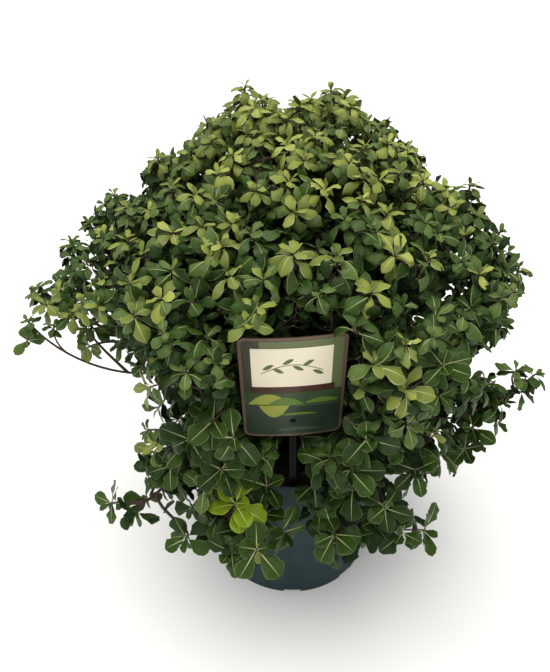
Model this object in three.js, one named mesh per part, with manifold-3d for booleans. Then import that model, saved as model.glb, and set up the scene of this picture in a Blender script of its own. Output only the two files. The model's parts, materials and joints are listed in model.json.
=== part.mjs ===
// A potted evergreen shrub with small round wavy leaves: a dense dome of foliage over a dark nursery pot,
// with a printed card on a stake in front. Millimetres, +Z up, the front of the plant towards -Y.
// The origin is the centre of the pot's flat underside.
import * as THREE from "three";
import { mergeVertices } from "three/addons/utils/BufferGeometryUtils.js";
import Module from "manifold-3d";

const wasm = await Module();
wasm.setup();

const UP = new THREE.Vector3(0, 0, 1);
const TURN = 2 * Math.PI;
const RAD = Math.PI / 180;
const GAP = 0.3; // between pieces that touch
const GRID = 0.004; // that a fused piece's corners lie on
const COARSEST = 0.1;

// The pot, about six litres: its wall widens evenly up to a band under the rim
const POT = {
  height: 195,
  baseRadius: 90,
  rimRadius: 119.5,
  wall: 2.4,
  floor: 3,
  rounding: 1.5,
  lip: 1,
  bandHeight: 29,
  bandStep: 2.6,
  clear: 3,
  sides: 40,
};
const DRAIN = { count: 8, width: 20, depth: 17, height: 4.5, first: 270 * RAD };
const COMPOST_TOP = 178;

// The crown's outline: widest at its waist, a low dome above it, and a skirt that hangs round the rim
const CROWN = {
  top: 561,
  waist: 384,
  bottom: 140,
  left: 217,
  right: 229,
  front: 222,
  back: 230,
  lean: -9,
  domeRise: 1.27,
  domeRound: 1.31,
  skirtDraw: 0.17,
  skirtLeft: 0.07,
  skirtBack: 0.05,
  skirtFall: 1.5,
  skirtFlare: 0.04,
  flareFall: 5,
};

// Its rings stand closer together towards the flared foot
const TRUNK = {
  tip: 392,
  radius: 10.5,
  tipRadius: 4,
  flare: 6.5,
  flareHeight: 13,
  lean: -7,
  bow: 5,
  sides: 8,
  steps: 8,
  closer: 1.8,
};

// Rings of foliage masses round the trunk. share is how far out the middle of a mass lies, leave the height
// at which its bough leaves the trunk, and rise the bough's first slope.
const RINGS = [
  { name: "lower", count: 6, start: 0, z: 226, share: 0.75, leave: 208, rise: 34, radius: 3.8, tips: 7 },
  { name: "middle", count: 7, start: 94, z: 330, share: 0.72, leave: 246, rise: 38, radius: 3.6, tips: 8 },
  { name: "upper", count: 6, start: 45, z: 420, share: 0.68, leave: 292, rise: 52, radius: 3.2, tips: 7 },
  { name: "top", count: 4, start: 0, z: 484, share: 0.5, leave: 350, rise: 66, radius: 2.7, tips: 5 },
];
// Long shoots that stand out of the crown, each with its own small mass round its end
const STRAYS = [
  { name: "stray_left", turn: 192, z: 350, out: 226, leave: 232, rise: 14, radius: 3.2, reach: 50 },
  { name: "stray_right", turn: 347, z: 240, out: 214, leave: 222, rise: 20, radius: 3.2, reach: 46 },
  { name: "stray_low", turn: 226, z: 203, out: 204, leave: 224, rise: 14, radius: 3, reach: 46 },
];
// The mass over the trunk's tip
const LEADER = { above: 88 };
// part is how much of the way to a mass's middle its bough goes, bend how far its first slope carries it
const BOUGH = { tipRadius: 2.4, sides: 5, steps: 4, part: 0.6, strayPart: 0.9, stagger: 3.4, bend: 0.55 };
const STEM = { radius: 2.3, tipRadius: 1.6, sides: 3, steps: 3, bend: 0.5 };
const TWIG = { straighter: 0.35, shortest: 14 };
// A leaf's shape, and how the leaves of a twig follow each other from the first to the last
const LEAF = {
  length: 53,
  width: 42,
  arch: 3.5,
  droop: 6,
  wide: 0.6,
  first: 1.06,
  last: 0.86,
  vary: 0.08,
  from: 0.66,
  beforeEnd: 3.5,
  openFirst: 74 * RAD,
  openLast: 38 * RAD,
  shrink: 0.88,
};
const CORE = { most: 62, inward: 50, margin: 12, share: 0.77, step: 2, detail: 1 };
// margin and tipMargin keep off the neighbouring masses, and inner, outer and edge are shares of the crown
const GROWTH = {
  seed: 40,
  seedStep: 37,
  fewTips: 4,
  leaves: 5,
  fewest: 2,
  attempts: 3,
  shrinks: 4,
  candidates: 8,
  tries: 400,
  box: 115,
  neighbours: 276,
  roomiest: 80,
  margin: 1.2,
  tipMargin: 7,
  inner: 0.72,
  outer: 0.93,
  edge: 1.06,
  clear: 0.7,
};

const LABEL = {
  width: 86,
  height: 124,
  thick: 1,
  corner: 6.5,
  bend: 260,
  bendSteps: 8,
  foot: new THREE.Vector3(-4, -134, 272),
  yaw: 3.5 * RAD,
  lean: 14.5 * RAD,
  roll: 1.9 * RAD,
  holeHeight: 22,
  holeRadius: 2.9,
};
// The space that foliage leaves free round the card, and in front of it
const AIR = { beside: 7, behind: 26, ahead: 114, stake: 4, stakeLength: 300, stakeAbove: 50 };
const STAKE = { width: 7, thick: 2, above: 42, depth: 60, point: 16 };
const PEG = { radius: 2.5, length: 6, out: 1 };

// Numbers from 0 to 1 that are the same on every run
function seeded(seed) {
  let state = seed >>> 0;
  return () => {
    state = (state + 0x6d2b79f5) >>> 0;
    let t = Math.imul(state ^ (state >>> 15), state | 1);
    t ^= t + Math.imul(t ^ (t >>> 7), t | 61);
    return ((t ^ (t >>> 14)) >>> 0) / 4294967296;
  };
}

const outward = (turn) => new THREE.Vector3(Math.cos(turn), Math.sin(turn), 0);
const mix = (a, b, t) => a + (b - a) * t;
const along = (p, way, far) => p.clone().addScaledVector(way, far);

// A closed geometry as a solid, and a solid as a geometry
function solidOf(geometry, weld = 1e-4) {
  const bare = geometry.clone();
  bare.deleteAttribute("normal");
  bare.deleteAttribute("uv");
  const merged = mergeVertices(bare, weld);
  return new wasm.Manifold(
    new wasm.Mesh({
      numProp: 3,
      vertProperties: merged.attributes.position.array,
      triVerts: new Uint32Array(merged.index.array),
    }),
  );
}

function geometryOf(solid) {
  const mesh = solid.getMesh();
  const positions = new Float32Array(mesh.numVert * 3);
  for (let i = 0; i < mesh.numVert; i++) {
    positions.set(mesh.vertProperties.subarray(i * mesh.numProp, i * mesh.numProp + 3), i * 3);
  }
  const geometry = new THREE.BufferGeometry();
  geometry.setAttribute("position", new THREE.BufferAttribute(positions, 3));
  geometry.setIndex(new THREE.BufferAttribute(new Uint32Array(mesh.triVerts), 1));
  return geometry;
}

const largestPiece = (solid) => solid.decompose().reduce((a, b) => (b.volume() > a.volume() ? b : a));

// Whether every edge is shared by two faces, once corners at one place count as one
function meetsInPairs(solid) {
  const { index } = mergeVertices(geometryOf(solid), GRID / 2);
  const faces = new Map();
  for (let i = 0; i < index.count; i++) {
    const ends = [index.getX(i), index.getX(i % 3 === 2 ? i - 2 : i + 1)];
    const edge = `${Math.min(...ends)} ${Math.max(...ends)}`;
    faces.set(edge, (faces.get(edge) ?? 0) + 1);
  }
  return [...faces.values()].every((count) => count === 2);
}

// A fused solid without slivers, loose scraps or sealed hollows, its corners on a grid that is fine,
// or coarser where two of its edges would touch
function tidied(solid, grid = GRID) {
  const geometry = geometryOf(largestPiece(solid.simplify(grid)));
  const values = geometry.attributes.position.array;
  values.forEach((value, i) => (values[i] = Math.round(value / grid) * grid));
  const made = largestPiece(solidOf(geometry, grid / 2));
  return meetsInPairs(made) || grid > COARSEST ? made : tidied(solid, 1.5 * grid);
}

// The direction square to `way` that is nearest to `wanted`, or to straight up
function squareTo(way, wanted = Math.abs(way.z) < 0.9 ? UP : new THREE.Vector3(1, 0, 0)) {
  return wanted.clone().addScaledVector(way, -wanted.dot(way)).normalize();
}

// A tapering limb: a cylinder of `steps` rings carried along a curve. radiusAt gives its radius at 0 to 1.
function limb(curve, radiusAt, sides, steps) {
  const geometry = new THREE.CylinderGeometry(1, 1, 1, sides, steps);
  const position = geometry.attributes.position;
  const frames = [];
  let side;
  for (let i = 0; i <= steps; i++) {
    const way = curve.getTangent(i / steps);
    side = squareTo(way, side);
    frames.push({ centre: curve.getPoint(i / steps), side, other: way.clone().cross(side) });
  }
  for (let i = 0; i < position.count; i++) {
    const t = position.getY(i) + 0.5;
    const { centre, side: a, other: b } = frames[Math.round(t * steps)];
    const radius = radiusAt(t);
    const p = along(along(centre, b, position.getX(i) * radius), a, position.getZ(i) * radius);
    position.setXYZ(i, p.x, p.y, p.z);
  }
  return solidOf(geometry);
}

const limbTo = (curve, from, to, sides, steps) => limb(curve, (t) => mix(from, to, t), sides, steps);

// The crown's widest reach towards `turn`, and how much of that its skirt draws in at its foot
function crownWidth(turn) {
  const sideways = Math.cos(turn) > 0 ? CROWN.right : CROWN.left;
  const lengthways = Math.sin(turn) > 0 ? CROWN.back : CROWN.front;
  return 1 / Math.hypot(Math.cos(turn) / sideways, Math.sin(turn) / lengthways);
}
function skirtDraw(turn) {
  return CROWN.skirtDraw - CROWN.skirtLeft * Math.cos(turn) + CROWN.skirtBack * Math.sin(turn);
}

// The crown's radius towards `turn` at height z
function crownRadius(turn, z) {
  if (z > CROWN.waist) {
    const t = Math.min(1, (z - CROWN.waist) / (CROWN.top - CROWN.waist));
    return crownWidth(turn) * (1 - t ** CROWN.domeRise) ** (1 / CROWN.domeRound);
  }
  const t = Math.min(1, (CROWN.waist - z) / (CROWN.waist - CROWN.bottom));
  const drawn = skirtDraw(turn) * Math.sin(Math.PI * t ** CROWN.skirtFall);
  return crownWidth(turn) * (1 - drawn + CROWN.skirtFlare * t ** CROWN.flareFall);
}

// How far out of the crown's middle a point lies: 1 on its outline
function crownShare(p) {
  const x = p.x - CROWN.lean;
  const turn = Math.atan2(p.y, x);
  const out = Math.hypot(x, p.y);
  if (p.z <= CROWN.waist) return out / crownRadius(turn, p.z);
  const high = ((p.z - CROWN.waist) / (CROWN.top - CROWN.waist)) ** CROWN.domeRise;
  const wide = (out / crownWidth(turn)) ** CROWN.domeRound;
  return (high + wide) ** (2 / (CROWN.domeRise + CROWN.domeRound));
}

const crownPoint = (turn, z, share) =>
  outward(turn)
    .multiplyScalar(crownRadius(turn, z) * share)
    .add(new THREE.Vector3(CROWN.lean, 0, z));

// The trunk's middle line and radius at height z
function trunkAt(z) {
  const t = (z - COMPOST_TOP) / (TRUNK.tip - COMPOST_TOP);
  const centre = new THREE.Vector3(TRUNK.lean * t, TRUNK.bow * Math.sin(Math.PI * t), z);
  const flare = TRUNK.flare * Math.exp(-(z - COMPOST_TOP) / TRUNK.flareHeight);
  return { centre, radius: mix(TRUNK.radius, TRUNK.tipRadius, t) + flare };
}

function trunkSolid(grown = 0) {
  const geometry = new THREE.CylinderGeometry(1, 1, 1, TRUNK.sides, TRUNK.steps);
  const position = geometry.attributes.position;
  for (let i = 0; i < position.count; i++) {
    const t = position.getY(i) + 0.5;
    const z = mix(COMPOST_TOP + GAP - grown, TRUNK.tip + grown, t ** TRUNK.closer);
    const { centre, radius } = trunkAt(z);
    const r = radius + grown;
    position.setXYZ(i, centre.x + position.getZ(i) * r, centre.y + position.getX(i) * r, z);
  }
  return solidOf(geometry);
}

// Every mass: the middle of its space, and where its bough leaves the trunk
function layOutMasses() {
  const masses = [];
  for (const ring of RINGS) {
    for (let i = 0; i < ring.count; i++) {
      const turn = ring.start * RAD + (i * TURN) / ring.count;
      const leave = ring.leave + ((i * Math.floor(ring.count / 2)) % ring.count) * BOUGH.stagger;
      const heart = crownPoint(turn, ring.z, ring.share);
      masses.push({ ...ring, name: `${ring.name}_${i + 1}`, turn, leave, heart });
    }
  }
  for (const stray of STRAYS) {
    const turn = stray.turn * RAD;
    const heart = outward(turn).multiplyScalar(stray.out).add(new THREE.Vector3(0, 0, stray.z));
    masses.push({ ...stray, turn, heart, tips: GROWTH.fewTips, stray: true });
  }
  const heart = new THREE.Vector3(TRUNK.lean, 0, TRUNK.tip + LEADER.above);
  masses.push({ name: "leader", heart, tips: GROWTH.fewTips, onTrunk: true });
  masses.forEach((mass, i) => (mass.seed = GROWTH.seed + GROWTH.seedStep * i));
  return masses;
}

// A bough's curve, from the middle of the trunk to where it enters its mass
function boughCurve(mass) {
  const { centre } = trunkAt(mass.leave);
  const part = mass.stray ? BOUGH.strayPart : BOUGH.part;
  const end = centre.clone().lerp(mass.heart, part);
  const way = outward(mass.turn).multiplyScalar(Math.cos(mass.rise * RAD));
  way.z = Math.sin(mass.rise * RAD);
  const bend = along(centre, way, BOUGH.bend * centre.distanceTo(end));
  return new THREE.QuadraticBezierCurve3(centre, bend, end);
}

// The card's own frame: right, up and forward are its axes and foot the middle of its lower edge
function labelFrame() {
  const turned = new THREE.Matrix4()
    .makeRotationZ(LABEL.yaw)
    .multiply(new THREE.Matrix4().makeRotationX(LABEL.lean))
    .multiply(new THREE.Matrix4().makeRotationY(-LABEL.roll));
  return turned.setPosition(LABEL.foot);
}
const LABEL_FRAME = labelFrame();

function roundedOutline(width, height, corner) {
  const half = width / 2;
  const shape = new THREE.Shape();
  shape.absarc(half - corner, corner, corner, -Math.PI / 2, 0);
  shape.absarc(half - corner, height - corner, corner, 0, Math.PI / 2);
  shape.absarc(corner - half, height - corner, corner, Math.PI / 2, Math.PI);
  shape.absarc(corner - half, corner, corner, Math.PI, 1.5 * Math.PI);
  return shape;
}

// A flat outline drawn in the card's plane, pushed through it from `back` to `front` along its own forward
function standing(shape, back, front, curveSegments) {
  const extrusion = { depth: front - back, bevelEnabled: false, curveSegments };
  const geometry = new THREE.ExtrudeGeometry(shape, extrusion);
  return geometry.rotateX(Math.PI / 2).translate(0, -back, 0);
}

// How far the bent card's middle layer stands back of its flat plane at x
const bendBack = (x) => LABEL.bend - Math.sqrt(LABEL.bend ** 2 - x ** 2);

function labelCard() {
  const outline = roundedOutline(LABEL.width, LABEL.height, LABEL.corner);
  const hole = new THREE.Path().absarc(0, LABEL.holeHeight, LABEL.holeRadius, 0, TURN, true);
  outline.holes.push(hole);
  const cutter = solidOf(standing(outline, -LABEL.height / 2, LABEL.height / 2, 5));
  const half = LABEL.width / 2 + 1;
  const steps = LABEL.bendSteps;
  const across = Array.from({ length: steps + 1 }, (_, i) => mix(-half, half, i / steps));
  const near = across.map((x) => new THREE.Vector2(x, bendBack(x) - LABEL.thick / 2));
  const far = across.map((x) => new THREE.Vector2(x, bendBack(x) + LABEL.thick / 2));
  const section = new THREE.Shape([...near, ...far.reverse()]);
  const sheet = new THREE.ExtrudeGeometry(section, { depth: LABEL.height + 2, bevelEnabled: false });
  sheet.translate(0, 0, -1);
  return solidOf(sheet).intersect(cutter);
}

// The stake stands behind the card, with a peg through the card's hole and its point down in the compost
const STAKE_LENGTH = (LABEL.foot.z - COMPOST_TOP) / Math.cos(LABEL.lean) + STAKE.depth;
const STAKE_FRONT = LABEL.thick / 2 + bendBack(STAKE.width / 2) + GAP;

function labelStake() {
  const half = STAKE.width / 2;
  const shape = new THREE.Shape();
  shape.moveTo(-half, STAKE.above);
  shape.lineTo(-half, STAKE.point - STAKE_LENGTH);
  shape.lineTo(0, -STAKE_LENGTH);
  shape.lineTo(half, STAKE.point - STAKE_LENGTH);
  shape.lineTo(half, STAKE.above);
  const strip = solidOf(standing(shape, -STAKE_FRONT - STAKE.thick, -STAKE_FRONT, 1));
  const peg = new THREE.CylinderGeometry(PEG.radius, PEG.radius, PEG.length, 16);
  peg.translate(0, STAKE_FRONT + PEG.out - PEG.length / 2, LABEL.holeHeight);
  return strip.add(solidOf(peg));
}

// A box in the card's frame, from `front` to `back` along its depth and from `low` to `high`
function cardBox(width, front, back, low, high) {
  const box = new THREE.BoxGeometry(width, back - front, high - low);
  return solidOf(box.translate(0, (front + back) / 2, (low + high) / 2)).transform(LABEL_FRAME.elements);
}

// The pot's plain outer wall under the band, and its inner wall all the way up
const BAND_FOOT = POT.height - POT.bandHeight;
const underBand = POT.rimRadius - POT.lip - POT.bandStep;
const outerWall = (z) => mix(POT.baseRadius, underBand, z / BAND_FOOT);
const innerWall = (z) => outerWall(z) - POT.wall;

const lathed = (profile) =>
  solidOf(
    new THREE.LatheGeometry(
      profile.map(([r, z]) => new THREE.Vector2(r, z)),
      POT.sides,
    ).rotateX(Math.PI / 2),
  );

function potSolid() {
  const { height, baseRadius, rimRadius, floor, rounding, lip } = POT;
  const shell = lathed([
    [0, 0],
    [baseRadius - rounding, 0],
    [baseRadius, rounding],
    [underBand, BAND_FOOT],
    [rimRadius - lip, BAND_FOOT + lip],
    [rimRadius, height - 2 * lip],
    [rimRadius - lip, height],
    [innerWall(height), height - lip],
    [innerWall(floor), floor],
    [0, floor],
    [0, 0],
  ]);
  const cuts = [];
  for (let i = 0; i < DRAIN.count; i++) {
    const notch = new THREE.BoxGeometry(2 * DRAIN.depth, DRAIN.width, 2 * DRAIN.height);
    notch.translate(baseRadius, 0, 0).rotateZ(DRAIN.first + (i * TURN) / DRAIN.count);
    cuts.push(solidOf(notch));
  }
  return shell.subtract(wasm.Manifold.union(cuts));
}

function compostSolid(slot) {
  const low = POT.floor + GAP;
  const fill = lathed([
    [0, low],
    [innerWall(low) - GAP, low],
    [innerWall(COMPOST_TOP) - GAP, COMPOST_TOP],
    [0, COMPOST_TOP],
  ]);
  return fill.subtract(slot);
}

// A four-faced leaf: its edges at the widest place are arched up, and its root and tip lie below them
function leafSolid(root, way, face, size) {
  const geometry = new THREE.TetrahedronGeometry(1);
  const position = geometry.attributes.position;
  const side = way.clone().cross(face);
  for (let i = 0; i < position.count; i++) {
    const edge = position.getZ(i) > 0;
    const tip = position.getY(i) > 0;
    const far = (edge ? LEAF.wide : Number(tip)) * LEAF.length * size;
    const across = edge ? (Math.sign(position.getX(i)) * LEAF.width * size) / 2 : 0;
    const lift = edge ? LEAF.arch * size : tip ? -LEAF.droop * size : 0;
    const p = along(along(along(root, way, far), side, across), face, lift);
    position.setXYZ(i, p.x, p.y, p.z);
  }
  return solidOf(geometry);
}

// A mass's space: nearest to its own heart, inside the crown or its own ball, and clear of the card
function spaceOf(mass, masses, margin, edge) {
  const flat = LABEL_FRAME.clone().invert();
  const isNear = (other) => other.heart.distanceTo(mass.heart) < GROWTH.neighbours;
  const near = masses.filter((other) => other !== mass && isNear(other));
  return (p) => {
    const own = p.distanceToSquared(mass.heart);
    for (const { heart } of near) {
      const past = (p.distanceToSquared(heart) - own) / (2 * heart.distanceTo(mass.heart));
      if (past < margin) return false;
    }
    if (mass.stray) return own < mass.reach ** 2;
    if (p.z < CROWN.bottom || crownShare(p) > edge) return false;
    const c = p.clone().applyMatrix4(flat);
    const across = Math.abs(c.x) < LABEL.width / 2 + AIR.beside;
    return !(across && c.z > -AIR.beside && c.z < LABEL.height + AIR.beside && c.y < AIR.behind);
  };
}

const corners = (solid) => {
  const mesh = solid.getMesh();
  return Array.from({ length: mesh.numVert }, (_, i) =>
    new THREE.Vector3().fromArray(mesh.vertProperties, i * mesh.numProp),
  );
};

// The close middle of a dense mass, that its leaves stand out of: a ball whose corners stay in the space
function coreSolid(mass, masses) {
  const inside = spaceOf(mass, masses, CORE.margin, CORE.share);
  const geometry = new THREE.OctahedronGeometry(1, CORE.detail);
  const position = geometry.attributes.position;
  for (let i = 0; i < position.count; i++) {
    const way = new THREE.Vector3().fromBufferAttribute(position, i).normalize();
    const most = way.dot(mass.entry.way) < 0 ? CORE.inward : CORE.most;
    let far = CORE.step;
    while (far < most && inside(along(mass.heart, way, far + CORE.step))) far += CORE.step;
    const p = along(mass.heart, way, far);
    position.setXYZ(i, p.x, p.y, p.z);
  }
  return solidOf(geometry);
}

// The core, stem, twigs and leaves of one mass, by the seeded rule. blocked is what they may not touch.
function growMass(mass, masses, blocked) {
  const random = seeded(mass.seed);
  const inside = spaceOf(mass, masses, GROWTH.margin, GROWTH.edge);
  const insideTip = spaceOf(mass, masses, GROWTH.tipMargin, GROWTH.outer);
  const fits = (solid) => corners(solid).every(inside) && solid.intersect(blocked).isEmpty();
  const meets = (solid, others) => others.some((other) => !other.intersect(solid).isEmpty());
  const joints = [];
  const twigs = [];
  const leaves = [];
  const start = along(mass.entry.point, mass.entry.way, GAP);
  const bend = along(start, mass.entry.way, STEM.bend * start.distanceTo(mass.heart));
  const stem = new THREE.QuadraticBezierCurve3(start, bend, mass.heart);
  const pieces = [limbTo(stem, BOUGH.tipRadius, STEM.radius, STEM.sides + 1, STEM.steps)];
  if (!mass.stray) pieces.push(coreSolid(mass, masses).subtract(blocked));
  for (let i = 1; i <= STEM.steps; i++) {
    const t = i / STEM.steps;
    joints.push({ point: stem.getPoint(t), way: stem.getTangent(t) });
  }

  // A tip's place: of a few random ones in the space's outer part, the one furthest from the other tips
  const tips = [];
  const lot = () => GROWTH.box * (2 * random() - 1);
  const aim = () => {
    let best = null;
    let found = 0;
    for (let i = 0; i < GROWTH.tries && found < GROWTH.candidates; i++) {
      const p = mass.heart.clone().add(new THREE.Vector3(lot(), lot(), lot()));
      const deep = mass.stray ? p.distanceTo(mass.heart) > mass.reach / 2 : crownShare(p) < GROWTH.inner;
      if (deep || !insideTip(p)) continue;
      found += 1;
      const room = Math.min(GROWTH.roomiest, ...tips.map((tip) => tip.distanceTo(p)));
      if (!best || room > best.room) best = { p, room };
    }
    return best?.p;
  };

  // Leaves round the end of a twig: three out of the middles of its sides, the last ones between them
  const leavesOn = (line, count) => {
    const grown = [];
    const way = line.getTangent(1);
    const side = squareTo(way);
    for (let i = 0; i < count; i++) {
      const late = i / (count - 1);
      const size = mix(LEAF.first, LEAF.last, late) * mix(1 - LEAF.vary, 1 + LEAF.vary, random());
      const at = line.getPoint(mix(LEAF.from, 1 - LEAF.beforeEnd / line.getLength(), late));
      const spread = mix(LEAF.openFirst, LEAF.openLast, late);
      const turn = Math.PI / 3 + i * (TURN / 3) + (i > 2 ? Math.PI / 3 : 0);
      const round = side.clone().applyAxisAngle(way, turn);
      const ahead = round.multiplyScalar(Math.sin(spread)).addScaledVector(way, Math.cos(spread));
      const face = way.clone().addScaledVector(ahead, -way.dot(ahead)).normalize();
      for (let k = 0; k < GROWTH.shrinks; k++) {
        const leaf = leafSolid(at, ahead, face, size * LEAF.shrink ** k);
        if (!fits(leaf) || meets(leaf, [...leaves, ...grown, ...twigs])) continue;
        grown.push(leaf);
        break;
      }
    }
    return grown;
  };

  for (let k = 0; k < mass.tips * GROWTH.attempts && tips.length < mass.tips; k++) {
    const tip = aim();
    if (!tip) continue;
    let from = null;
    for (const joint of joints) {
      const toTip = tip.clone().sub(joint.point);
      const turned = 1 - toTip.clone().normalize().dot(joint.way);
      const cost = toTip.length() * (1 + TWIG.straighter * turned);
      if (toTip.length() > TWIG.shortest && (!from || cost < from.cost)) from = { ...joint, cost };
    }
    if (!from) continue;
    const line = new THREE.LineCurve3(from.point, tip);
    const twig = limbTo(line, STEM.radius, STEM.tipRadius, STEM.sides, 1);
    if (!fits(twig) || meets(twig, leaves)) continue;
    const grown = leavesOn(line, GROWTH.leaves);
    if (grown.length < GROWTH.fewest) continue;
    twigs.push(twig);
    leaves.push(...grown);
    tips.push(tip);
  }
  return tidied(wasm.Manifold.union([...pieces, ...twigs, ...leaves]));
}

const COLOURS = {
  pot: { color: 0x2c343b, roughness: 0.55 },
  compost: { color: 0x2b1d12, roughness: 1 },
  bark: { color: 0x3a2a22, roughness: 0.85 },
  foliage: { color: 0x3f5a20, roughness: 0.5 },
  card: { color: 0xd9d2b4, roughness: 0.3 },
  stake: { color: 0x1d2630, roughness: 0.5 },
};

const plant = new THREE.Group();
plant.name = "potted_shrub";

function add(name, solid, finish) {
  const material = new THREE.MeshStandardMaterial({ metalness: 0, ...COLOURS[finish] });
  const mesh = new THREE.Mesh(geometryOf(solid), material);
  mesh.name = name;
  plant.add(mesh);
}

const stakeBack = STAKE_FRONT + STAKE.thick;
const slot = cardBox(STAKE.width + 2 * GAP, STAKE_FRONT - GAP, stakeBack + GAP, -STAKE_LENGTH - GAP, 0);
add("pot", potSolid(), "pot");
add("compost", compostSolid(slot), "compost");
add("trunk", trunkSolid(), "bark");
add("label_card", labelCard().transform(LABEL_FRAME.elements), "card");
add("label_stake", labelStake().transform(LABEL_FRAME.elements), "stake");

// What no leaf or twig may touch: the pot, the card's free space, the stake, the trunk and every bough
const potHeight = POT.height + POT.clear;
const potRadius = POT.rimRadius + POT.clear;
const potRoom = new THREE.CylinderGeometry(potRadius, potRadius, potHeight, POT.sides).rotateX(Math.PI / 2);
const cardWidth = LABEL.width + AIR.beside;
const stakeWidth = STAKE.width + 2 * AIR.stake;
const blocked = [
  trunkSolid(GROWTH.clear),
  solidOf(potRoom.translate(0, 0, potHeight / 2)),
  cardBox(cardWidth, -AIR.ahead, AIR.behind / 2, -AIR.beside / 2, LABEL.height + AIR.beside / 2),
  cardBox(stakeWidth, -AIR.stake, stakeBack + AIR.stake, AIR.stakeAbove - AIR.stakeLength, AIR.stakeAbove),
];

const masses = layOutMasses();
const trunkRoom = trunkSolid(GAP);
for (const mass of masses) {
  if (mass.onTrunk) {
    mass.entry = { point: trunkAt(TRUNK.tip).centre, way: UP.clone() };
    continue;
  }
  const curve = boughCurve(mass);
  const bough = limbTo(curve, mass.radius, BOUGH.tipRadius, BOUGH.sides, BOUGH.steps);
  add(`bough_${mass.name}`, largestPiece(bough.subtract(trunkRoom)), "bark");
  const room = (t) => mix(mass.radius, BOUGH.tipRadius, t) + GROWTH.clear;
  blocked.push(limb(curve, room, BOUGH.sides, BOUGH.steps));
  mass.entry = { point: curve.getPoint(1), way: curve.getTangent(1) };
}
const keepOut = wasm.Manifold.union(blocked);
for (const mass of masses) {
  add(`foliage_${mass.name}`, growMass(mass, masses, keepOut), "foliage");
}

export default plant;
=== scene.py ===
"""Looks of a potted evergreen shrub: its leaves, twigs, bark, pot, compost and plant label.

Sizes are in millimetres, as the part has them, and meshes are made in metres.
"""

import json
import math
import random
from types import SimpleNamespace as Sizes

import bpy
import numpy as np
from mathutils import Matrix, Vector, noise

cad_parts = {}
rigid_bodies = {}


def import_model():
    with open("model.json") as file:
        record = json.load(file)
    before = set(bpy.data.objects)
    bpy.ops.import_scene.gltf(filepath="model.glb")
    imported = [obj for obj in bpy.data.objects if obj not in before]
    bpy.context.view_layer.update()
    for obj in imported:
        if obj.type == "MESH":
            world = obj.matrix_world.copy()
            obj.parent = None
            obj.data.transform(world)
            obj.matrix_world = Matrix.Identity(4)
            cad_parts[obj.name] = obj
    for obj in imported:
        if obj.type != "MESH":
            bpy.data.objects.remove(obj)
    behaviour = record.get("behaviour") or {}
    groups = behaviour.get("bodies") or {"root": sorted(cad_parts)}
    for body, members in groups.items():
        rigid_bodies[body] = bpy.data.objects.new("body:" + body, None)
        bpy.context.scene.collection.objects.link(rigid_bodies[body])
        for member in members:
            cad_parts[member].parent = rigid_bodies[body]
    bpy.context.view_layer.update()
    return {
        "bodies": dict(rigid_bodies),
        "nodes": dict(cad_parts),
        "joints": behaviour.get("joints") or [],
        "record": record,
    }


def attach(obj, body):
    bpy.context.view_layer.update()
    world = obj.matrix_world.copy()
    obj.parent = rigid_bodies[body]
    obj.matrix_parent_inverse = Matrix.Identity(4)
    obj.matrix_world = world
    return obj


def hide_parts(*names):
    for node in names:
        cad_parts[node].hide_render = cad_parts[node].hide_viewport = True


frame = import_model()

MM = 0.001
TURN = 2 * math.pi
RAD = math.pi / 180

# The part's own sizes, on which everything here grows
POT = Sizes(height=195, base=90, rim=119.5, wall=2.4, floor=3, lip=1, band=29, step=2.6)
DRAIN = Sizes(count=8, width=20, depth=17, height=4.5, first=270)
COMPOST_TOP = 178
CROWN = Sizes(
    top=561, waist=384, bottom=140, left=217, right=229, front=222, back=230, lean=-9,
    rise=1.27, round=1.31, draw=0.17, draw_left=0.07, draw_back=0.05, fall=1.5, flare=0.04, flare_fall=5,
)
TRUNK = Sizes(tip=392, radius=10.5, tip_radius=4, flare=6.5, flare_height=13, lean=-7, bow=5)
RINGS = [
    dict(name="lower", count=6, start=0, z=226, share=0.75, leave=208, rise=34, radius=3.8, tips=27),
    dict(name="middle", count=7, start=94, z=330, share=0.72, leave=246, rise=38, radius=3.6, tips=35),
    dict(name="upper", count=6, start=45, z=420, share=0.68, leave=292, rise=52, radius=3.2, tips=38),
    dict(name="top", count=4, start=0, z=484, share=0.5, leave=350, rise=66, radius=2.7, tips=42),
]
STRAYS = [
    dict(name="stray_left", turn=192, z=350, out=226, leave=232, rise=14, radius=3.2, reach=50, tips=10),
    dict(name="stray_right", turn=347, z=240, out=214, leave=222, rise=20, radius=3.2, reach=46, tips=9),
    dict(name="stray_low", turn=226, z=203, out=204, leave=224, rise=14, radius=3, reach=46, tips=9),
]
LEADER = dict(above=88, tips=26)
BOUGH = Sizes(tip_radius=2.4, part=0.6, stray_part=0.9, stagger=3.4, bend=0.55, stray_slim=0.6, steps=40)
LABEL = Sizes(
    width=86, height=124, thick=1, corner=6.5, bend=260, foot=(-4, -134, 272), yaw=3.5, lean=14.5, roll=1.9,
    hole_height=22, hole_radius=2.9,
)
STAKE = Sizes(width=7, thick=2, above=42, depth=60, point=16)
GAP = 0.3

# How the twigs go on from the boughs
GROWTH = Sizes(seed=40, pool=14000, box=115, candidates=8, margin=1.0, inner_tips=10, clear=6, ahead=24)
# How near things of the part, and the view of them, the plant may come
ROOM = Sizes(
    pot=1.5, rim=9, compost=2, floor=3, card_side=1, card_face=5, card_end=2, stake_side=5, stake_face=6,
    view=2, front=-60, skirt=240,
)
STRAY_RIM = (0.55, 0.95)  # the shares of a stray's reach between which its outer tips stand
# The shares of the crown between which rim, middle and inner tips stand, and the part of the tips at the rim
RIM, MIDDLE, INNER = (0.86, 0.985), (0.6, 0.86), (0.28, 0.6)
RIM_PART = 0.62
SHY = 11  # how far inside the outline of the view tips stay
TWIG = Sizes(joint=2.1, tip=1.0, straighter=0.35, shortest=18, longest=125, loose=0.2)
# A shoot's slope above level in degrees, at some heights
SLOPES = ((150, 230, 290, 554), (14, 46, 84, 90))
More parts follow.
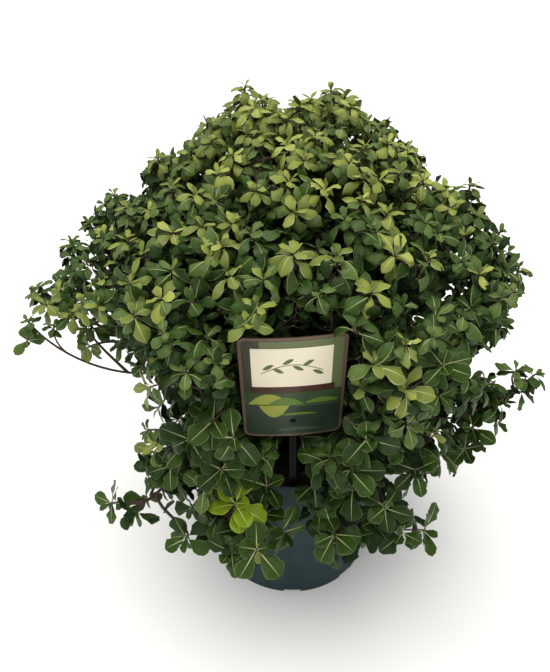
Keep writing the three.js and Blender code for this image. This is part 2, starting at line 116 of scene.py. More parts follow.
# Heights between which shoots turn from open rosettes into upright ones with arching leaves
ROSETTE_Z, UPRIGHT_Z = 190, 290
# A shoot of middling size has a whorl of leaves at its tip, some bare stem, and a whorl of last year's leaves
WHORL = Sizes(count=12, first=0.3, space=0.32, wider=0.05)
OLD_WHORL = Sizes(count=4, first=15, space=1.7, below=13, opens=70, below_opens=74)
FULL_COUNT = WHORL.count + OLD_WHORL.count
MIDDLING = 17
GOLDEN = 137.5 * RAD
BARE_FOOT = 5  # a shoot's length at its foot that has no leaves
SAG = 0.1  # how far weight draws a grown leaf down
EDGED_PART = 0.55  # the part of the leaves that show a pale margin
LIME_PART = 0.04  # the part of the shoots that are quite young
LEAF = Sizes(youngest=4.5, thick=0.3, petiole=3.2, common=20, fine=22.5, small=15)
# A blade's shape: the powers of its outline, its rib's taper, its edges' swing and its curl, then how wide
# and how high its parts are
BLADE = Sizes(
    outline=0.66, taper=0.6, swing=0.6, curl=0.9, rib_end=0.002, rib_part=0.9, thin_rib=0.3, foot=0.35,
    thinnest=0.1, petiole=0.5, scallop=0.08, bulge=0.1, rib_rise=0.1,
)
# Leaves of an open rosette and of an upright shoot. From the youngest to the grown ones it is so many steps;
# opens and arches are these two's degrees, grown is the first one's share of full size, gains what each next
# one adds, and wide, wave and rib are shares of a blade's length
ROSETTE = Sizes(
    leaves=8, steps=5, opens=(30, 84), arches=(10, 36), grown=0.5, gains=0.24, age=0.45, old_arches=40,
    below_arches=36, wide=0.72, fold=0.05, wave=0.05, rib=0.031,
)
UPRIGHT = Sizes(
    leaves=FULL_COUNT, steps=WHORL.count - 1, opens=(10, 70), arches=(30, 116), grown=0.34, gains=0.13,
    age=0.75, old_arches=100, below_arches=60, wide=0.53, fold=-0.78, wave=0.07, rib=0.02,
)
YOUNG_FOLD = 0.5  # the fold of the youngest leaves
# How far leaves differ by chance: a spread, or the least and the most of a factor or a measure
CHANCE = Sizes(
    turn=0.2, opens=6 * RAD, roll=0.2, look=0.07, length=(0.86, 1.12), width=(0.88, 1.12), arch=(0.75, 1.15),
    fold=(0.5, 1.2), wave=(0.5, 1.5), waves=(1.6, 2.7), swell=(1.3, 1.65), petiole=(0.7, 1.2),
)
# How old the youngest leaves of a shoot look, from 0 to 1, if it isn't fresh, and how much less if it is
DULL, FRESHER = 0.92, 0.86
# How fresh shoots are low and high in the crown, and inside it, which ends at a share of the crown
FRESH = Sizes(low=0.02, high=0.8, power=1.5, inner=0.2, share=0.7, over=0.2, chance=0.14)
SHOOT_CHANCE = (0.88, 1.1)  # the factor of a shoot's size
# The compost's lumps, as (height, width), and its crumbs
LUMPS = ((2.2, 16), (1.6, 5), (0.9, 2.1))
CRUMBS = Sizes(seed=5, count=700, size=(1.2, 3.6))
# The length of full-grown leaves, at some heights
LENGTHS = ((170, 240, 300, 400, 500), (26, 24, 22, 19, 16))
# The shoots deep in the crown, whose leaves are coloured with painted shade
INNER_SHOOT = dict(size=23, fresh=0, upright=0, leaves=11, inner=True)
MOST_TRIANGLES = 185000  # of one piece of leaves

CAMERA = Sizes(place=(-20, -577, 641), down=31.0, focal=640, width=550, height=672, sensor=36)
# What of the pot stays open to view between the lowest shoots, in the photograph's frame
POT_VIEW = [
    (280, 486), (303, 486), (306, 528), (314, 556), (352, 574), (358, 610), (240, 610), (246, 580),
    (276, 562), (279, 528),
]
# The stake under the card, in the same frame
STAKE_VIEW = [(284, 430), (298, 430), (297, 487), (285, 487)]
# The crown's outline in that frame, its few gaps as (across, down, radius), and the view's room round them
CROWN_VIEW = [
    (60, 262), (66, 242), (74, 220), (98, 206), (100, 194), (128, 184), (142, 158), (160, 148), (186, 144),
    (194, 122), (226, 106), (228, 86), (244, 76), (262, 84), (276, 96), (286, 104), (298, 94), (314, 84),
    (332, 76), (352, 86), (366, 98), (374, 116), (398, 118), (404, 134), (430, 148), (440, 174), (460, 172),
    (484, 184), (490, 206), (512, 214), (512, 236), (528, 262), (532, 286), (518, 300), (514, 332),
    (494, 354), (472, 356), (468, 372), (484, 366), (514, 364), (542, 374), (538, 404), (510, 408),
    (508, 446), (498, 460), (462, 462), (456, 484), (438, 478), (418, 488), (406, 494), (414, 506),
    (428, 520), (434, 548), (424, 564), (404, 552), (384, 546), (360, 562), (350, 576), (278, 586),
    (236, 578), (218, 556), (196, 556), (172, 542), (176, 518), (150, 504), (132, 520), (94, 530),
    (96, 494), (140, 484), (154, 460), (158, 430), (160, 400), (152, 374), (126, 350), (96, 340), (70, 332),
    (30, 352), (8, 340), (8, 318), (26, 276), (46, 268),
]
GAPS = [
    (448, 293, 7), (391, 479, 7), (449, 409, 6), (418, 318, 4), (468, 290, 3), (165, 427, 3), (150, 472, 6),
    (181, 412, 4), (198, 480, 4), (150, 494, 6), (97, 268, 4), (90, 236, 4), (126, 196, 3), (138, 197, 3),
    (425, 197, 3), (478, 236, 4), (460, 250, 4), (347, 137, 4), (199, 166, 3), (108, 346, 5), (480, 432, 5),
    (436, 448, 4),
]

# Shoots that stand out in the photograph: at is where it shows a tip, or the tip's place, size is the length
# of a grown leaf, fresh how young the shoot looks, share how far out in the crown the tip is, and way where
# the shoot points, "lens" being towards the camera. Upright ones come first, as (across, down, size, fresh)
UPRIGHT_SHOOTS = [
    (245, 87, 16, 0.65), (331, 90, 16, 0.5), (254, 108, 18, 0.95), (274, 113, 16, 0.6),
    (207, 124, 16, 0.45), (299, 105, 15, 0.6), (351, 107, 16, 0.8), (387, 124, 16, 0.45),
    (230, 114, 15, 0.45), (315, 136, 16, 0.65), (287, 145, 18, 1), (158, 159, 16, 0.65),
    (191, 151, 16, 0.55), (233, 156, 16, 0.95), (218, 173, 18, 0.9), (172, 186, 18, 0.55),
    (256, 190, 16, 0.7), (215, 200, 18, 0.45), (114, 195, 16, 0.5), (128, 208, 18, 0.5),
    (90, 224, 18, 0.45), (72, 247, 18, 0.45), (173, 232, 21, 0.95), (203, 226, 19, 0.6),
    (223, 245, 19, 0.85), (211, 257, 20, 0.6), (143, 254, 21, 0.75), (128, 241, 20, 0.85),
    (252, 233, 21, 0.35), (230, 275, 21, 0.8), (99, 283, 19, 0.9), (134, 314, 21, 0.75),
    (337, 158, 16, 0.55), (350, 162, 16, 0.85), (289, 181, 18, 0.7), (325, 189, 21, 0.85),
    (363, 178, 18, 0.85), (379, 180, 19, 0.9), (366, 147, 16, 0.6), (388, 143, 16, 0.8),
    (407, 153, 16, 0.8), (423, 180, 18, 0.9), (445, 189, 19, 0.9), (452, 208, 19, 0.85),
    (470, 186, 18, 0.55), (295, 212, 20, 0.7), (294, 253, 23, 0.85), (337, 256, 23, 0.55),
    (387, 213, 21, 0.7), (396, 255, 24, 1), (429, 258, 23, 0.9), (372, 292, 23, 0.85), (425, 222, 20, 0.4),
    (478, 216, 19, 0.45), (374, 363, 24, 0.7), (462, 316, 25, 0.4), (501, 297, 21, 0.5),
    (248, 324, 23, 0.8), (258, 307, 21, 0.7), (264, 279, 20, 0.5), (376, 232, 21, 0.25),
    (353, 326, 23, 0.35), (84, 304, 20, 0.85), (72, 272, 19, 0.4), (493, 243, 20, 0.45),
    (506, 268, 20, 0.5), (318, 292, 21, 0.3), (190, 300, 23, 0.2), (345, 218, 19, 0.3), (305, 160, 16, 0.6),
    (212, 140, 16, 0.4), (262, 135, 16, 0.5), (340, 128, 16, 0.35), (247, 132, 16, 0.5),
    (368, 122, 15, 0.4), (180, 165, 16, 0.4), (104, 240, 18, 0.5), (118, 262, 19, 0.5), (86, 262, 18, 0.4),
    (60, 290, 18, 0.85), (72, 312, 19, 0.85), (46, 304, 18, 0.8), (98, 306, 19, 0.75), (400, 172, 16, 0.5),
    (438, 232, 19, 0.4), (462, 262, 19, 0.4), (519, 268, 18, 0.5), (514, 292, 18, 0.5), (500, 232, 18, 0.5),
    (72, 242, 16, 0.5), (104, 204, 16, 0.5), (310, 100, 16, 0.6), (345, 96, 16, 0.6), (288, 118, 16, 0.7),
    (262, 102, 16, 0.6),
]
# Open rosettes that face the lens, as (at, size, fresh, leaves)
ROSETTES = [
    ((443, 366), 21, 0.3, 8), ((366, 440), 25, 0.1, 6), ((234, 438), 25, 0.1, 7), ((205, 487), 19, 0.65, 7),
    ((170, 466), 22, 0.05, 6), ((213, 420), 23, 0.15, 7), ((385, 508), 23, 0.1, 7),
    ((304, 468), 22, 0.1, 6), ((-36, -186, 184), 26, 0.15, 7), ((32, -182, 198), 25, 0.15, 7),
    ((47, -168, 240), 25, 0.05, 7), ((82, -154, 194), 26, 0.1, 8), ((101, -153, 168), 26, 0.1, 7),
    ((-60, -178, 172), 25, 0.1, 5), ((-49, -160, 184), 26, 0, 7), ((-73, -152, 192), 25, 0.1, 7),
    ((-30, -156, 196), 24, 0, 6), ((21, -158, 208), 24, 0, 7), ((15, -150, 228), 23, 0, 6),
    ((-27, -150, 226), 24, 0.05, 6), ((52, -166, 176), 25, 0.05, 7), ((70, -160, 192), 25, 0.1, 7),
    ((30, -172, 176), 24, 0, 6), ((182, -62, 222), 22, 0.15, 7), ((176, -70, 200), 20, 0.1, 6),
    ((415, 470), 24, 0.15, 7), ((190, 440), 23, 0.1, 7), ((350, 470), 24, 0.05, 7),
    ((222, 470), 24, 0.05, 7),
]
# Shoots that lean, as (at, way, size, fresh, leaves, upright)
LEANING = [
    ((161, 298), (-0.1, -0.5, 0.86), 18, 0.95, 12, 0.75), ((405, 390), (0, -0.6, 0.8), 22, 1, 12, 0.75),
    ((186, 372), (-0.35, -0.55, 0.75), 20, 0.6, 10, 0.5), ((408, 425), (0.6, -0.55, 0.5), 22, 0.6, 8, 0.4),
    ((400, 441), (0.2, -0.8, 0.3), 25, 0.1, 6, 0), ((156, 444), (-0.5, -0.6, 0.3), 20, 0.8, 6, 0.2),
    ((157, 482), (-0.5, -0.6, 0), 18, 0.3, 5, 0), ((440, 396), (0.4, -0.6, 0.4), 21, 0.3, 7, 0.2),
    ((124, -146, 164), (0.3, -0.8, 0.6), 24, 0.1, 6, 0),
    ((-104, -160, 168), (-0.4, -0.6, 0.3), 21, 0.2, 8, 0),
    ((-178, -132, 186), (-0.4, -0.6, 0.5), 20, 0.3, 8, 0.1),
    ((-152, -150, 188), (-0.2, -0.7, 0.5), 21, 0.25, 8, 0.1),
    ((146, 500), (-0.3, -0.7, 0.5), 20, 0.3, 6, 0.1), ((150, 452), (-0.3, -0.6, 0.5), 21, 0.75, 6, 0.1),
    ((158, 468), (-0.2, -0.7, 0.4), 21, 0.1, 5, 0), ((-11, -166, 184), (0.6, -0.7, 0), 25, 0.1, 6, 0),
    ((-214, -38, 352), (-0.5, -0.2, 0.8), 16, 0.6, 12, 0.7),
    ((-157, -50, 307), (-0.4, -0.4, 0.7), 17, 0.4, 10, 0.6),
    ((-171, -50, 316), (-0.5, -0.3, 0.6), 17, 0.5, 10, 0.6),
    ((-150, -52, 292), (-0.4, -0.5, 0.5), 18, 0.35, 9, 0.4),
    ((-201, -52, 313), (-0.4, -0.7, 0.1), 18, 0.6, 7, 0.2),
    ((-242, -50, 372), (-0.6, -0.1, 0.7), 15, 0.6, 13, 0.9),
    ((-195, -50, 335), (-0.5, -0.2, 0.7), 16, 0.5, 11, 0.7),
    ((230, -55, 262), (0.6, -0.4, 0.2), 19, 0.3, 7, 0.2),
    ((216, -58, 290), (0.4, -0.2, 0.8), 18, 0.5, 10, 0.6),
    ((-243, -32, 369), (-0.5, 0, 0.8), 16, 0.7, 13, 1), ((-218, -40, 352), (-0.4, 0, 0.9), 16, 0.5, 13, 1),
]
FEATURES = [dict(at=(u, v), size=size, fresh=fresh) for u, v, size, fresh in UPRIGHT_SHOOTS]
FACING = dict(way="lens", upright=0, grand=True)
FEATURES += [dict(at=at, size=size, fresh=fresh, leaves=n, **FACING) for at, size, fresh, n in ROSETTES]
FEATURES += [dict(zip(("at", "way", "size", "fresh", "leaves", "upright"), row)) for row in LEANING]
FEATURES += [
    dict(at=(-55, -168, 222), size=27, fresh=1, leaves=8, look="sap", **FACING),
    dict(at=(150, 387), size=20, fresh=0.65, way=(-0.8, -0.4, -0.1), leaves=6, upright=0.4, share=1.02),
    dict(at=(158, 408), size=17, fresh=0.5, way=(-0.7, -0.4, -0.4), leaves=5, upright=0.3, share=1),
    dict(at=(147, 430), size=14, fresh=0.3, way=(-0.8, -0.3, 0.1), leaves=6, upright=0.8, share=1.02),
    dict(at=(146, 460), size=16, fresh=0.1, way=(-0.8, -0.3, -0.3), leaves=6, upright=0.4, share=1),
    dict(at=(-252, -55, 344), way=(-0.3, -0.1, 0.9), size=15, fresh=0.6, leaves=10, leafy=20,
         route=[(-111, -20, 274), (-163, -45, 257), (-234, -49, 297), (-252, -55, 344)], radius=1.5),
    dict(at=(-228, -55, 339), way=(-0.1, -0.1, 1), size=14, fresh=0.5, leaves=9, leafy=20,
         route=[(-223.4, -49.5, 305), (-231, -53, 317), (-232, -54, 328), (-228, -55, 339)], radius=0.9),
    dict(at=(-195, -60, 338), way=(-0.5, -0.2, 0.8), size=16, fresh=0.5, leaves=8, leafy=22,
         route=[(-169.5, -39.5, 275), (-180, -50, 300), (-190, -57, 318), (-197, -60, 340)], radius=1.8),
    dict(at=(-256, -58, 324), way="lens", size=18, fresh=0.35, leaves=4, upright=0, leafy=12,
         route=[(-247.5, -53.8, 334.2), (-252, -50, 327), (-258, -50, 320), (-256, -58, 324)], radius=0.7),
    dict(at=(238, -52, 281), size=18, fresh=0.45, leaves=11, upright=0.6, leafy=50,
         route=[(132, -40, 222), (178, -56, 216), (208, -56, 250), (238, -52, 281)], radius=1.5),
]


def vec(*values):
    return np.array(values, float)


def mix(a, b, t):
    return a + (b - a) * t


def unit(v):
    return v / np.maximum(np.linalg.norm(v, axis=-1, keepdims=True), 1e-9)


def outward(turn):
    return vec(math.cos(turn), math.sin(turn), 0)


def square_to(way, wanted):
    """The direction square to way that is nearest to wanted."""
    rest = wanted - way * np.sum(way * wanted, axis=-1, keepdims=True)
    return unit(rest)


def bezier(points, count):
    """count + 1 points along a Bezier curve of any degree."""
    t = np.linspace(0, 1, count + 1)[:, None]
    level = [np.asarray(p, float) for p in points]
    while len(level) > 1:
        level = [mix(a, b, t) for a, b in zip(level, level[1:])]
    return level[0]


def ways_along(line):
    return unit(np.gradient(line, axis=0))


def crown_width(turn):
    sideways = np.where(np.cos(turn) > 0, CROWN.right, CROWN.left)
    lengthways = np.where(np.sin(turn) > 0, CROWN.back, CROWN.front)
    return 1 / np.hypot(np.cos(turn) / sideways, np.sin(turn) / lengthways)


def crown_radius(turn, z):
    """The crown's radius towards turn at height z, as in the part."""
    wide = crown_width(turn)
    high = np.clip((z - CROWN.waist) / (CROWN.top - CROWN.waist), 0, 1)
    low = np.clip((CROWN.waist - z) / (CROWN.waist - CROWN.bottom), 0, 1)
    draw = CROWN.draw - CROWN.draw_left * np.cos(turn) + CROWN.draw_back * np.sin(turn)
    drawn = draw * np.sin(math.pi * low ** CROWN.fall)
    dome = (1 - high ** CROWN.rise) ** (1 / CROWN.round)
    return wide * np.where(z > CROWN.waist, dome, 1 - drawn + CROWN.flare * low ** CROWN.flare_fall)


def crown_share(p):
    """How far out of the crown's middle a point lies: 1 on its outline."""
    x, y, z = p[..., 0] - CROWN.lean, p[..., 1], p[..., 2]
    turn = np.arctan2(y, x)
    out = np.hypot(x, y)
    high = np.clip((z - CROWN.waist) / (CROWN.top - CROWN.waist), 0, None) ** CROWN.rise
    wide = (out / crown_width(turn)) ** CROWN.round
    dome = (high + wide) ** (2 / (CROWN.rise + CROWN.round))
    return np.where(z > CROWN.waist, dome, out / np.maximum(crown_radius(turn, z), 1e-6))


def trunk_at(z):
    t = (z - COMPOST_TOP) / (TRUNK.tip - COMPOST_TOP)
    return vec(TRUNK.lean * t, TRUNK.bow * math.sin(math.pi * t), z)


def lay_out_masses():
    """Every mass of foliage: the middle of its space and where its bough leaves the trunk."""
    masses = []
    for ring in RINGS:
        for i in range(ring["count"]):
            turn = ring["start"] * RAD + i * TURN / ring["count"]
            leave = ring["leave"] + i * (ring["count"] // 2) % ring["count"] * BOUGH.stagger
            out = float(crown_radius(turn, ring["z"])) * ring["share"]
            heart = outward(turn) * out + vec(CROWN.lean, 0, ring["z"])
            name = f"{ring['name']}_{i + 1}"
            mass = {**ring, "ring": ring["name"], "name": name, "turn": turn, "leave": leave, "heart": heart}
            masses.append(mass)
    for stray in STRAYS:
        turn = stray["turn"] * RAD
        heart = outward(turn) * stray["out"] + vec(0, 0, stray["z"])
        masses.append({**stray, "ring": "stray", "turn": turn, "heart": heart})
    heart = vec(TRUNK.lean, 0, TRUNK.tip + LEADER["above"])
    masses.append({**LEADER, "ring": "top", "name": "leader", "heart": heart})
    for i, mass in enumerate(masses):
        mass["seed"] = GROWTH.seed + 37 * i
    return masses


def bough_line(mass):
    centre = trunk_at(mass["leave"])
    part = BOUGH.stray_part if mass["ring"] == "stray" else BOUGH.part
    end = mix(centre, mass["heart"], part)
    rise = mass["rise"] * RAD
    way = outward(mass["turn"]) * math.cos(rise) + vec(0, 0, math.sin(rise))
    bend = centre + way * BOUGH.bend * np.linalg.norm(end - centre)
    return bezier([centre, bend, end], BOUGH.steps)


def label_matrix():
    turned = Matrix.Rotation(LABEL.yaw * RAD, 4, "Z") @ Matrix.Rotation(LABEL.lean * RAD, 4, "X")
    turned = turned @ Matrix.Rotation(-LABEL.roll * RAD, 4, "Y")
    return np.array(Matrix.Translation(LABEL.foot) @ turned)


def moved(points, frame):
    return points @ frame[:3, :3].T + frame[:3, 3]


LENS = vec(*CAMERA.place)
LENS_TIP = CAMERA.down * RAD
RAY_STEPS = np.linspace(250, 850, 601)  # how deep points lie on a ray that seeks the crown
LABEL_FRAME = label_matrix()
LABEL_BACK = np.linalg.inv(LABEL_FRAME)


def seen_at(p):
    """Where points lie in the photograph's frame."""
    q = p - LENS
    deep = q[..., 1] * math.cos(LENS_TIP) - q[..., 2] * math.sin(LENS_TIP)
    up = q[..., 1] * math.sin(LENS_TIP) + q[..., 2] * math.cos(LENS_TIP)
    across = CAMERA.width / 2 + CAMERA.focal * q[..., 0] / deep
    return np.stack([across, CAMERA.height / 2 - CAMERA.focal * up / deep], -1)


def on_crown(across, down, share):
    """The first point so far out in the crown on the lens's ray through a spot of the frame, or the ray's
    inmost point where it passes the crown by."""
    right = (across - CAMERA.width / 2) / CAMERA.focal
    up = (CAMERA.height / 2 - down) / CAMERA.focal
    cos, sin = math.cos(LENS_TIP), math.sin(LENS_TIP)
    ray = LENS + vec(right, cos + up * sin, up * cos - sin) * RAY_STEPS[:, None]
    shares = crown_share(ray)
    deep = np.flatnonzero(shares < share)
    return ray[deep[0] if len(deep) else np.argmin(shares)]


def in_outline(spots, outline, room=0):
    """Whether spots of the frame lie in an outline whose corners are moved out by room."""
    corners = np.array(outline, float)
    corners += room * unit(corners - corners.mean(axis=0))
    inside = np.zeros(spots.shape[:-1], bool)
    x, y = spots[..., 0], spots[..., 1]
    for (ax, ay), (bx, by) in zip(corners, np.roll(corners, -1, axis=0)):
        if ay != by:
            inside ^= ((ay > y) != (by > y)) & (x < ax + (y - ay) * (bx - ax) / (by - ay))
    return inside


HALF_CARD = LABEL.thick / 2
BORDER = 2.6
CARD_CORNERS = vec((-1, 0, 0), (1, 0, 0), (1, 0, 1), (-1, 0, 1)) * (LABEL.width / 2, 0, LABEL.height)
CARD_VIEW = seen_at(moved(CARD_CORNERS, LABEL_FRAME))


def clear_of_things(p, room=0.0, sight=True, trimmed=True):
    """Where points are clear of the pot, the floor and the label, and of the view of them."""
    out = np.hypot(p[..., 0], p[..., 1])
    in_pot = (out < POT.rim + ROOM.pot + room) & (p[..., 2] < POT.height + ROOM.pot + room)
    over_compost = (out < POT.rim - ROOM.rim) & (p[..., 2] > COMPOST_TOP + ROOM.compost + room)
    card = moved(p, LABEL_BACK)
    aside, apart = np.abs(card[..., 0]), np.abs(card[..., 1])
    at_card = (aside < LABEL.width / 2 + ROOM.card_side + room) & (apart < ROOM.card_face + room)
    at_card &= np.abs(card[..., 2] - LABEL.height / 2) < LABEL.height / 2 + ROOM.card_end + room
    at_stake = (aside < ROOM.stake_side + room) & (apart < ROOM.stake_face) & (card[..., 2] <= 0)
    clear = ~(in_pot & ~over_compost) & ~at_card & ~at_stake & (p[..., 2] > ROOM.floor)
    spots = seen_at(p)
    ahead = card[..., 1] < 0
    clear &= ~(in_outline(spots, STAKE_VIEW) & ahead)
    if trimmed:
        clear &= in_outline(spots, CROWN_VIEW)
        for across, down, radius in GAPS:
            clear &= np.hypot(spots[..., 0] - across, spots[..., 1] - down) > radius
    if sight:
        clear &= ~(in_outline(spots, CARD_VIEW, ROOM.view) & ahead)
        clear &= ~(in_outline(spots, POT_VIEW) & (p[..., 1] < ROOM.front) & (p[..., 2] < ROOM.skirt))
    return clear


def space_of(mass, masses, points):
    """Which points are nearest to this mass's heart, or inside a stray's own ball."""
    own = np.sum((points - mass["heart"]) ** 2, axis=-1)
    inside = own < mass["reach"] ** 2 if mass["ring"] == "stray" else points[:, 2] > CROWN.bottom
    for other in masses:
        if other is not mass:
            apart = np.linalg.norm(other["heart"] - mass["heart"])
            past = (np.sum((points - other["heart"]) ** 2, axis=-1) - own) / (2 * apart)
            inside &= past > GROWTH.margin
    return inside


def settle_features():
    for feature in FEATURES:
        at = feature["at"]
        feature["low"] = len(at) == 3
        feature["tip"] = vec(*at) if feature["low"] else on_crown(*at, feature.get("share", 0.95))


def pick_tips(mass, masses, features):
    """Tips spread through the mass's space, each with whether it is an inner one, which come last."""
    rng = np.random.default_rng(mass["seed"])
    pool = mass["heart"] + rng.uniform(-1, 1, (GROWTH.pool, 3)) * GROWTH.box
    share = crown_share(pool)
    inside = space_of(mass, masses, pool) & clear_of_things(pool, GROWTH.clear)
    spots = seen_at(pool)
    deep = np.linalg.norm(pool - LENS, axis=1)
    for feature in FEATURES:
        hides = np.linalg.norm(spots - seen_at(feature["tip"]), axis=1) < feature["size"]
        inside &= ~(hides & (deep < np.linalg.norm(feature["tip"] - LENS) + GROWTH.ahead))
    for ahead in ((SHY, 0), (-SHY, 0), (0, SHY), (0, -SHY)):
        inside &= in_outline(spots + ahead, CROWN_VIEW)
    rim = max(0, round(mass["tips"] * RIM_PART) - len(features))
    if mass["ring"] == "stray":
        far = np.linalg.norm(pool - mass["heart"], axis=1) / mass["reach"]
        low, high = STRAY_RIM
        layers = [((far > low) & (far < high), rim), (far < low, mass["tips"] - rim)]
    else:
        counts = rim, mass["tips"] - rim, GROWTH.inner_tips
        spans = zip((RIM, MIDDLE, INNER), counts)
        layers = [((share > low) & (share < high), count) for (low, high), count in spans]
    taken = [feature["tip"] for feature in features]
    tips = []
    for layer, (mask, count) in enumerate(layers):
        some = pool[inside & mask]
        count = min(count, len(some) // GROWTH.candidates)
        # Each tip is the one of a few candidates that has the most room
        for tries in some[: count * GROWTH.candidates].reshape(count, GROWTH.candidates, 3):
            if taken:
                room = np.linalg.norm(tries[:, None] - np.array(taken)[None], axis=2).min(axis=1)
                tries = tries[np.argsort(-room)]
            taken.append(tries[0])
            tips.append((tries[0], layer == 2))
    return tips


REVERSED = [0, 3, 2, 1]  # a quad's corners, to turn it over


def bands(rows, count):
    """The quads between rows of points, each row a closed ring of count points."""
    i = np.arange(rows - 1)[:, None] * count
    k = np.arange(count)[None]
    after = (k + 1) % count
    return np.stack([i + k, i + after, i + after + count, i + k + count], axis=-1).reshape(-1, 4)


class Piece:
    """Collects quads, each with a material slot, and makes one object of them."""

    def __init__(self, name):
        self.name = name
        self.points, self.quads, self.slots = [], [], []
        self.count = 0

    def add(self, points, quads, slots=0):
        self.points.append(np.asarray(points, np.float32).reshape(-1, 3))
        self.quads.append(np.asarray(quads, np.int32).reshape(-1, 4) + self.count)
        self.slots.append(np.broadcast_to(slots, len(self.quads[-1])).astype(np.int32))
        self.count += len(self.points[-1])

    def make(self, materials, sharp=50, marks=None):
        """The object, its edges sharp over an angle, or else where both ends bear the same mark."""
        points, quads, slots = map(np.concatenate, (self.points, self.quads, self.slots))
        mesh = bpy.data.meshes.new(self.name)
        mesh.vertices.add(len(points))
        mesh.vertices.foreach_set("co", (points * MM).ravel())
        mesh.loops.add(quads.size)
        mesh.loops.foreach_set("vertex_index", quads.ravel())
        mesh.polygons.add(len(quads))
        mesh.polygons.foreach_set("loop_start", np.arange(0, quads.size, 4, dtype=np.int32))
        mesh.polygons.foreach_set("material_index", slots)
        mesh.polygons.foreach_set("use_smooth", np.full(len(quads), True))
        mesh.update(calc_edges=True)
        mesh.validate()
        if marks is None:
            mesh.set_sharp_from_angle(angle=sharp * RAD)
        else:
            ends = np.empty(2 * len(mesh.edges), np.int32)
            mesh.edges.foreach_get("vertices", ends)
            first, second = marks[ends.reshape(-1, 2)].T
            kept = (first > 0) & (first == second)
            mesh.attributes.new("sharp_edge", "BOOLEAN", "EDGE").data.foreach_set("value", kept)
        for material in materials:
            mesh.materials.append(material)
        piece = bpy.data.objects.new(self.name, mesh)
        bpy.context.collection.objects.link(piece)
        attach(piece, "root")
        return piece


def tube(piece, line, radii, sides, relief=None):
    """A tube of quads along a line, its first side kept square to the line all the way."""
    ways = ways_along(line)
    side = square_to(ways[0], vec(0, 0, 1) if abs(ways[0][2]) < 0.9 else vec(1, 0, 0))
    turns = np.linspace(0, TURN, sides, endpoint=False)
    rings = []
    for centre, way, radius in zip(line, ways, radii):
        side = square_to(way, side)
        spokes = np.cos(turns)[:, None] * side + np.sin(turns)[:, None] * np.cross(way, side)
        around = np.full(sides, float(radius))
        if relief:
            around = around * np.array([relief(centre + s * radius, a) for s, a in zip(spokes, turns)])
        rings.append(centre + spokes * around[:, None])
    ends = len(line) * sides
    last = ends - sides
    pairs = np.arange(0, sides - 1, 2)
    hub = np.full(len(pairs), ends)
    foot = np.stack([hub, (pairs + 2) % sides, pairs + 1, pairs], axis=-1)
    top = np.stack([hub + 1, last + pairs, last + pairs + 1, last + (pairs + 2) % sides], axis=-1)
    points = np.concatenate(rings + [[line[0]], [line[-1]]])
    piece.add(points, np.concatenate([bands(len(line), sides), foot, top]))


# A blade's rows from its foot to its tip, and the points across a row: u, and the look of the face after each
LAMINA, MIDRIB, MARGIN, UNDER = range(4)
RIB = 0.001
FINE = dict(
    rows=vec(0, 0.13, 0.3, 0.49, 0.68, 0.84, 0.95, 1),
    across=vec(-1, -0.9, -0.5, -RIB, RIB, 0.5, 0.9, 1, 0),
    looks=[MARGIN, LAMINA, LAMINA, MIDRIB, LAMINA, LAMINA, MARGIN, UNDER, UNDER],
)
GRAND = {**FINE, "rows": vec(0, 0.1, 0.22, 0.35, 0.48, 0.6, 0.71, 0.81, 0.9, 0.96, 1)}
# Small leaves show either their rib or their pale margin
RIBBED = dict(
    rows=vec(0, 0.2, 0.45, 0.7, 0.9, 1),
    across=vec(-1, -RIB, RIB, 1, 0),
    looks=[LAMINA, MIDRIB, LAMINA, UNDER, UNDER],
)
EDGED = dict(
    rows=RIBBED["rows"],
    across=vec(-1, -0.9, RIB, 0.9, 1, 0),
    looks=[MARGIN, LAMINA, LAMINA, MARGIN, UNDER, UNDER],
)
SMALL_EDGED, SMALL_RIBBED = ({**kind, "rows": vec(0, 0.26, 0.54, 0.82, 1)} for kind in (EDGED, RIBBED))
# The leaves deep in the crown, which only darken it, coloured with painted shade
PLAIN = dict(rows=vec(0, 0.3, 0.62, 0.87, 1), across=vec(-1, RIB, 1, 0), looks=[LAMINA, LAMINA, UNDER, UNDER])
KINDS = PLAIN, GRAND, FINE, EDGED, RIBBED, SMALL_EDGED, SMALL_RIBBED


def kind_of(leaf):
    """The kind of blade that a leaf gets."""
    if leaf["inner"]:
        return PLAIN
    if leaf["grand"]:
        return GRAND
    if leaf["length"] > LEAF.fine:
        return FINE
    return ((RIBBED, EDGED) if leaf["length"] > LEAF.small else (SMALL_RIBBED, SMALL_EDGED))[leaf["edged"]]


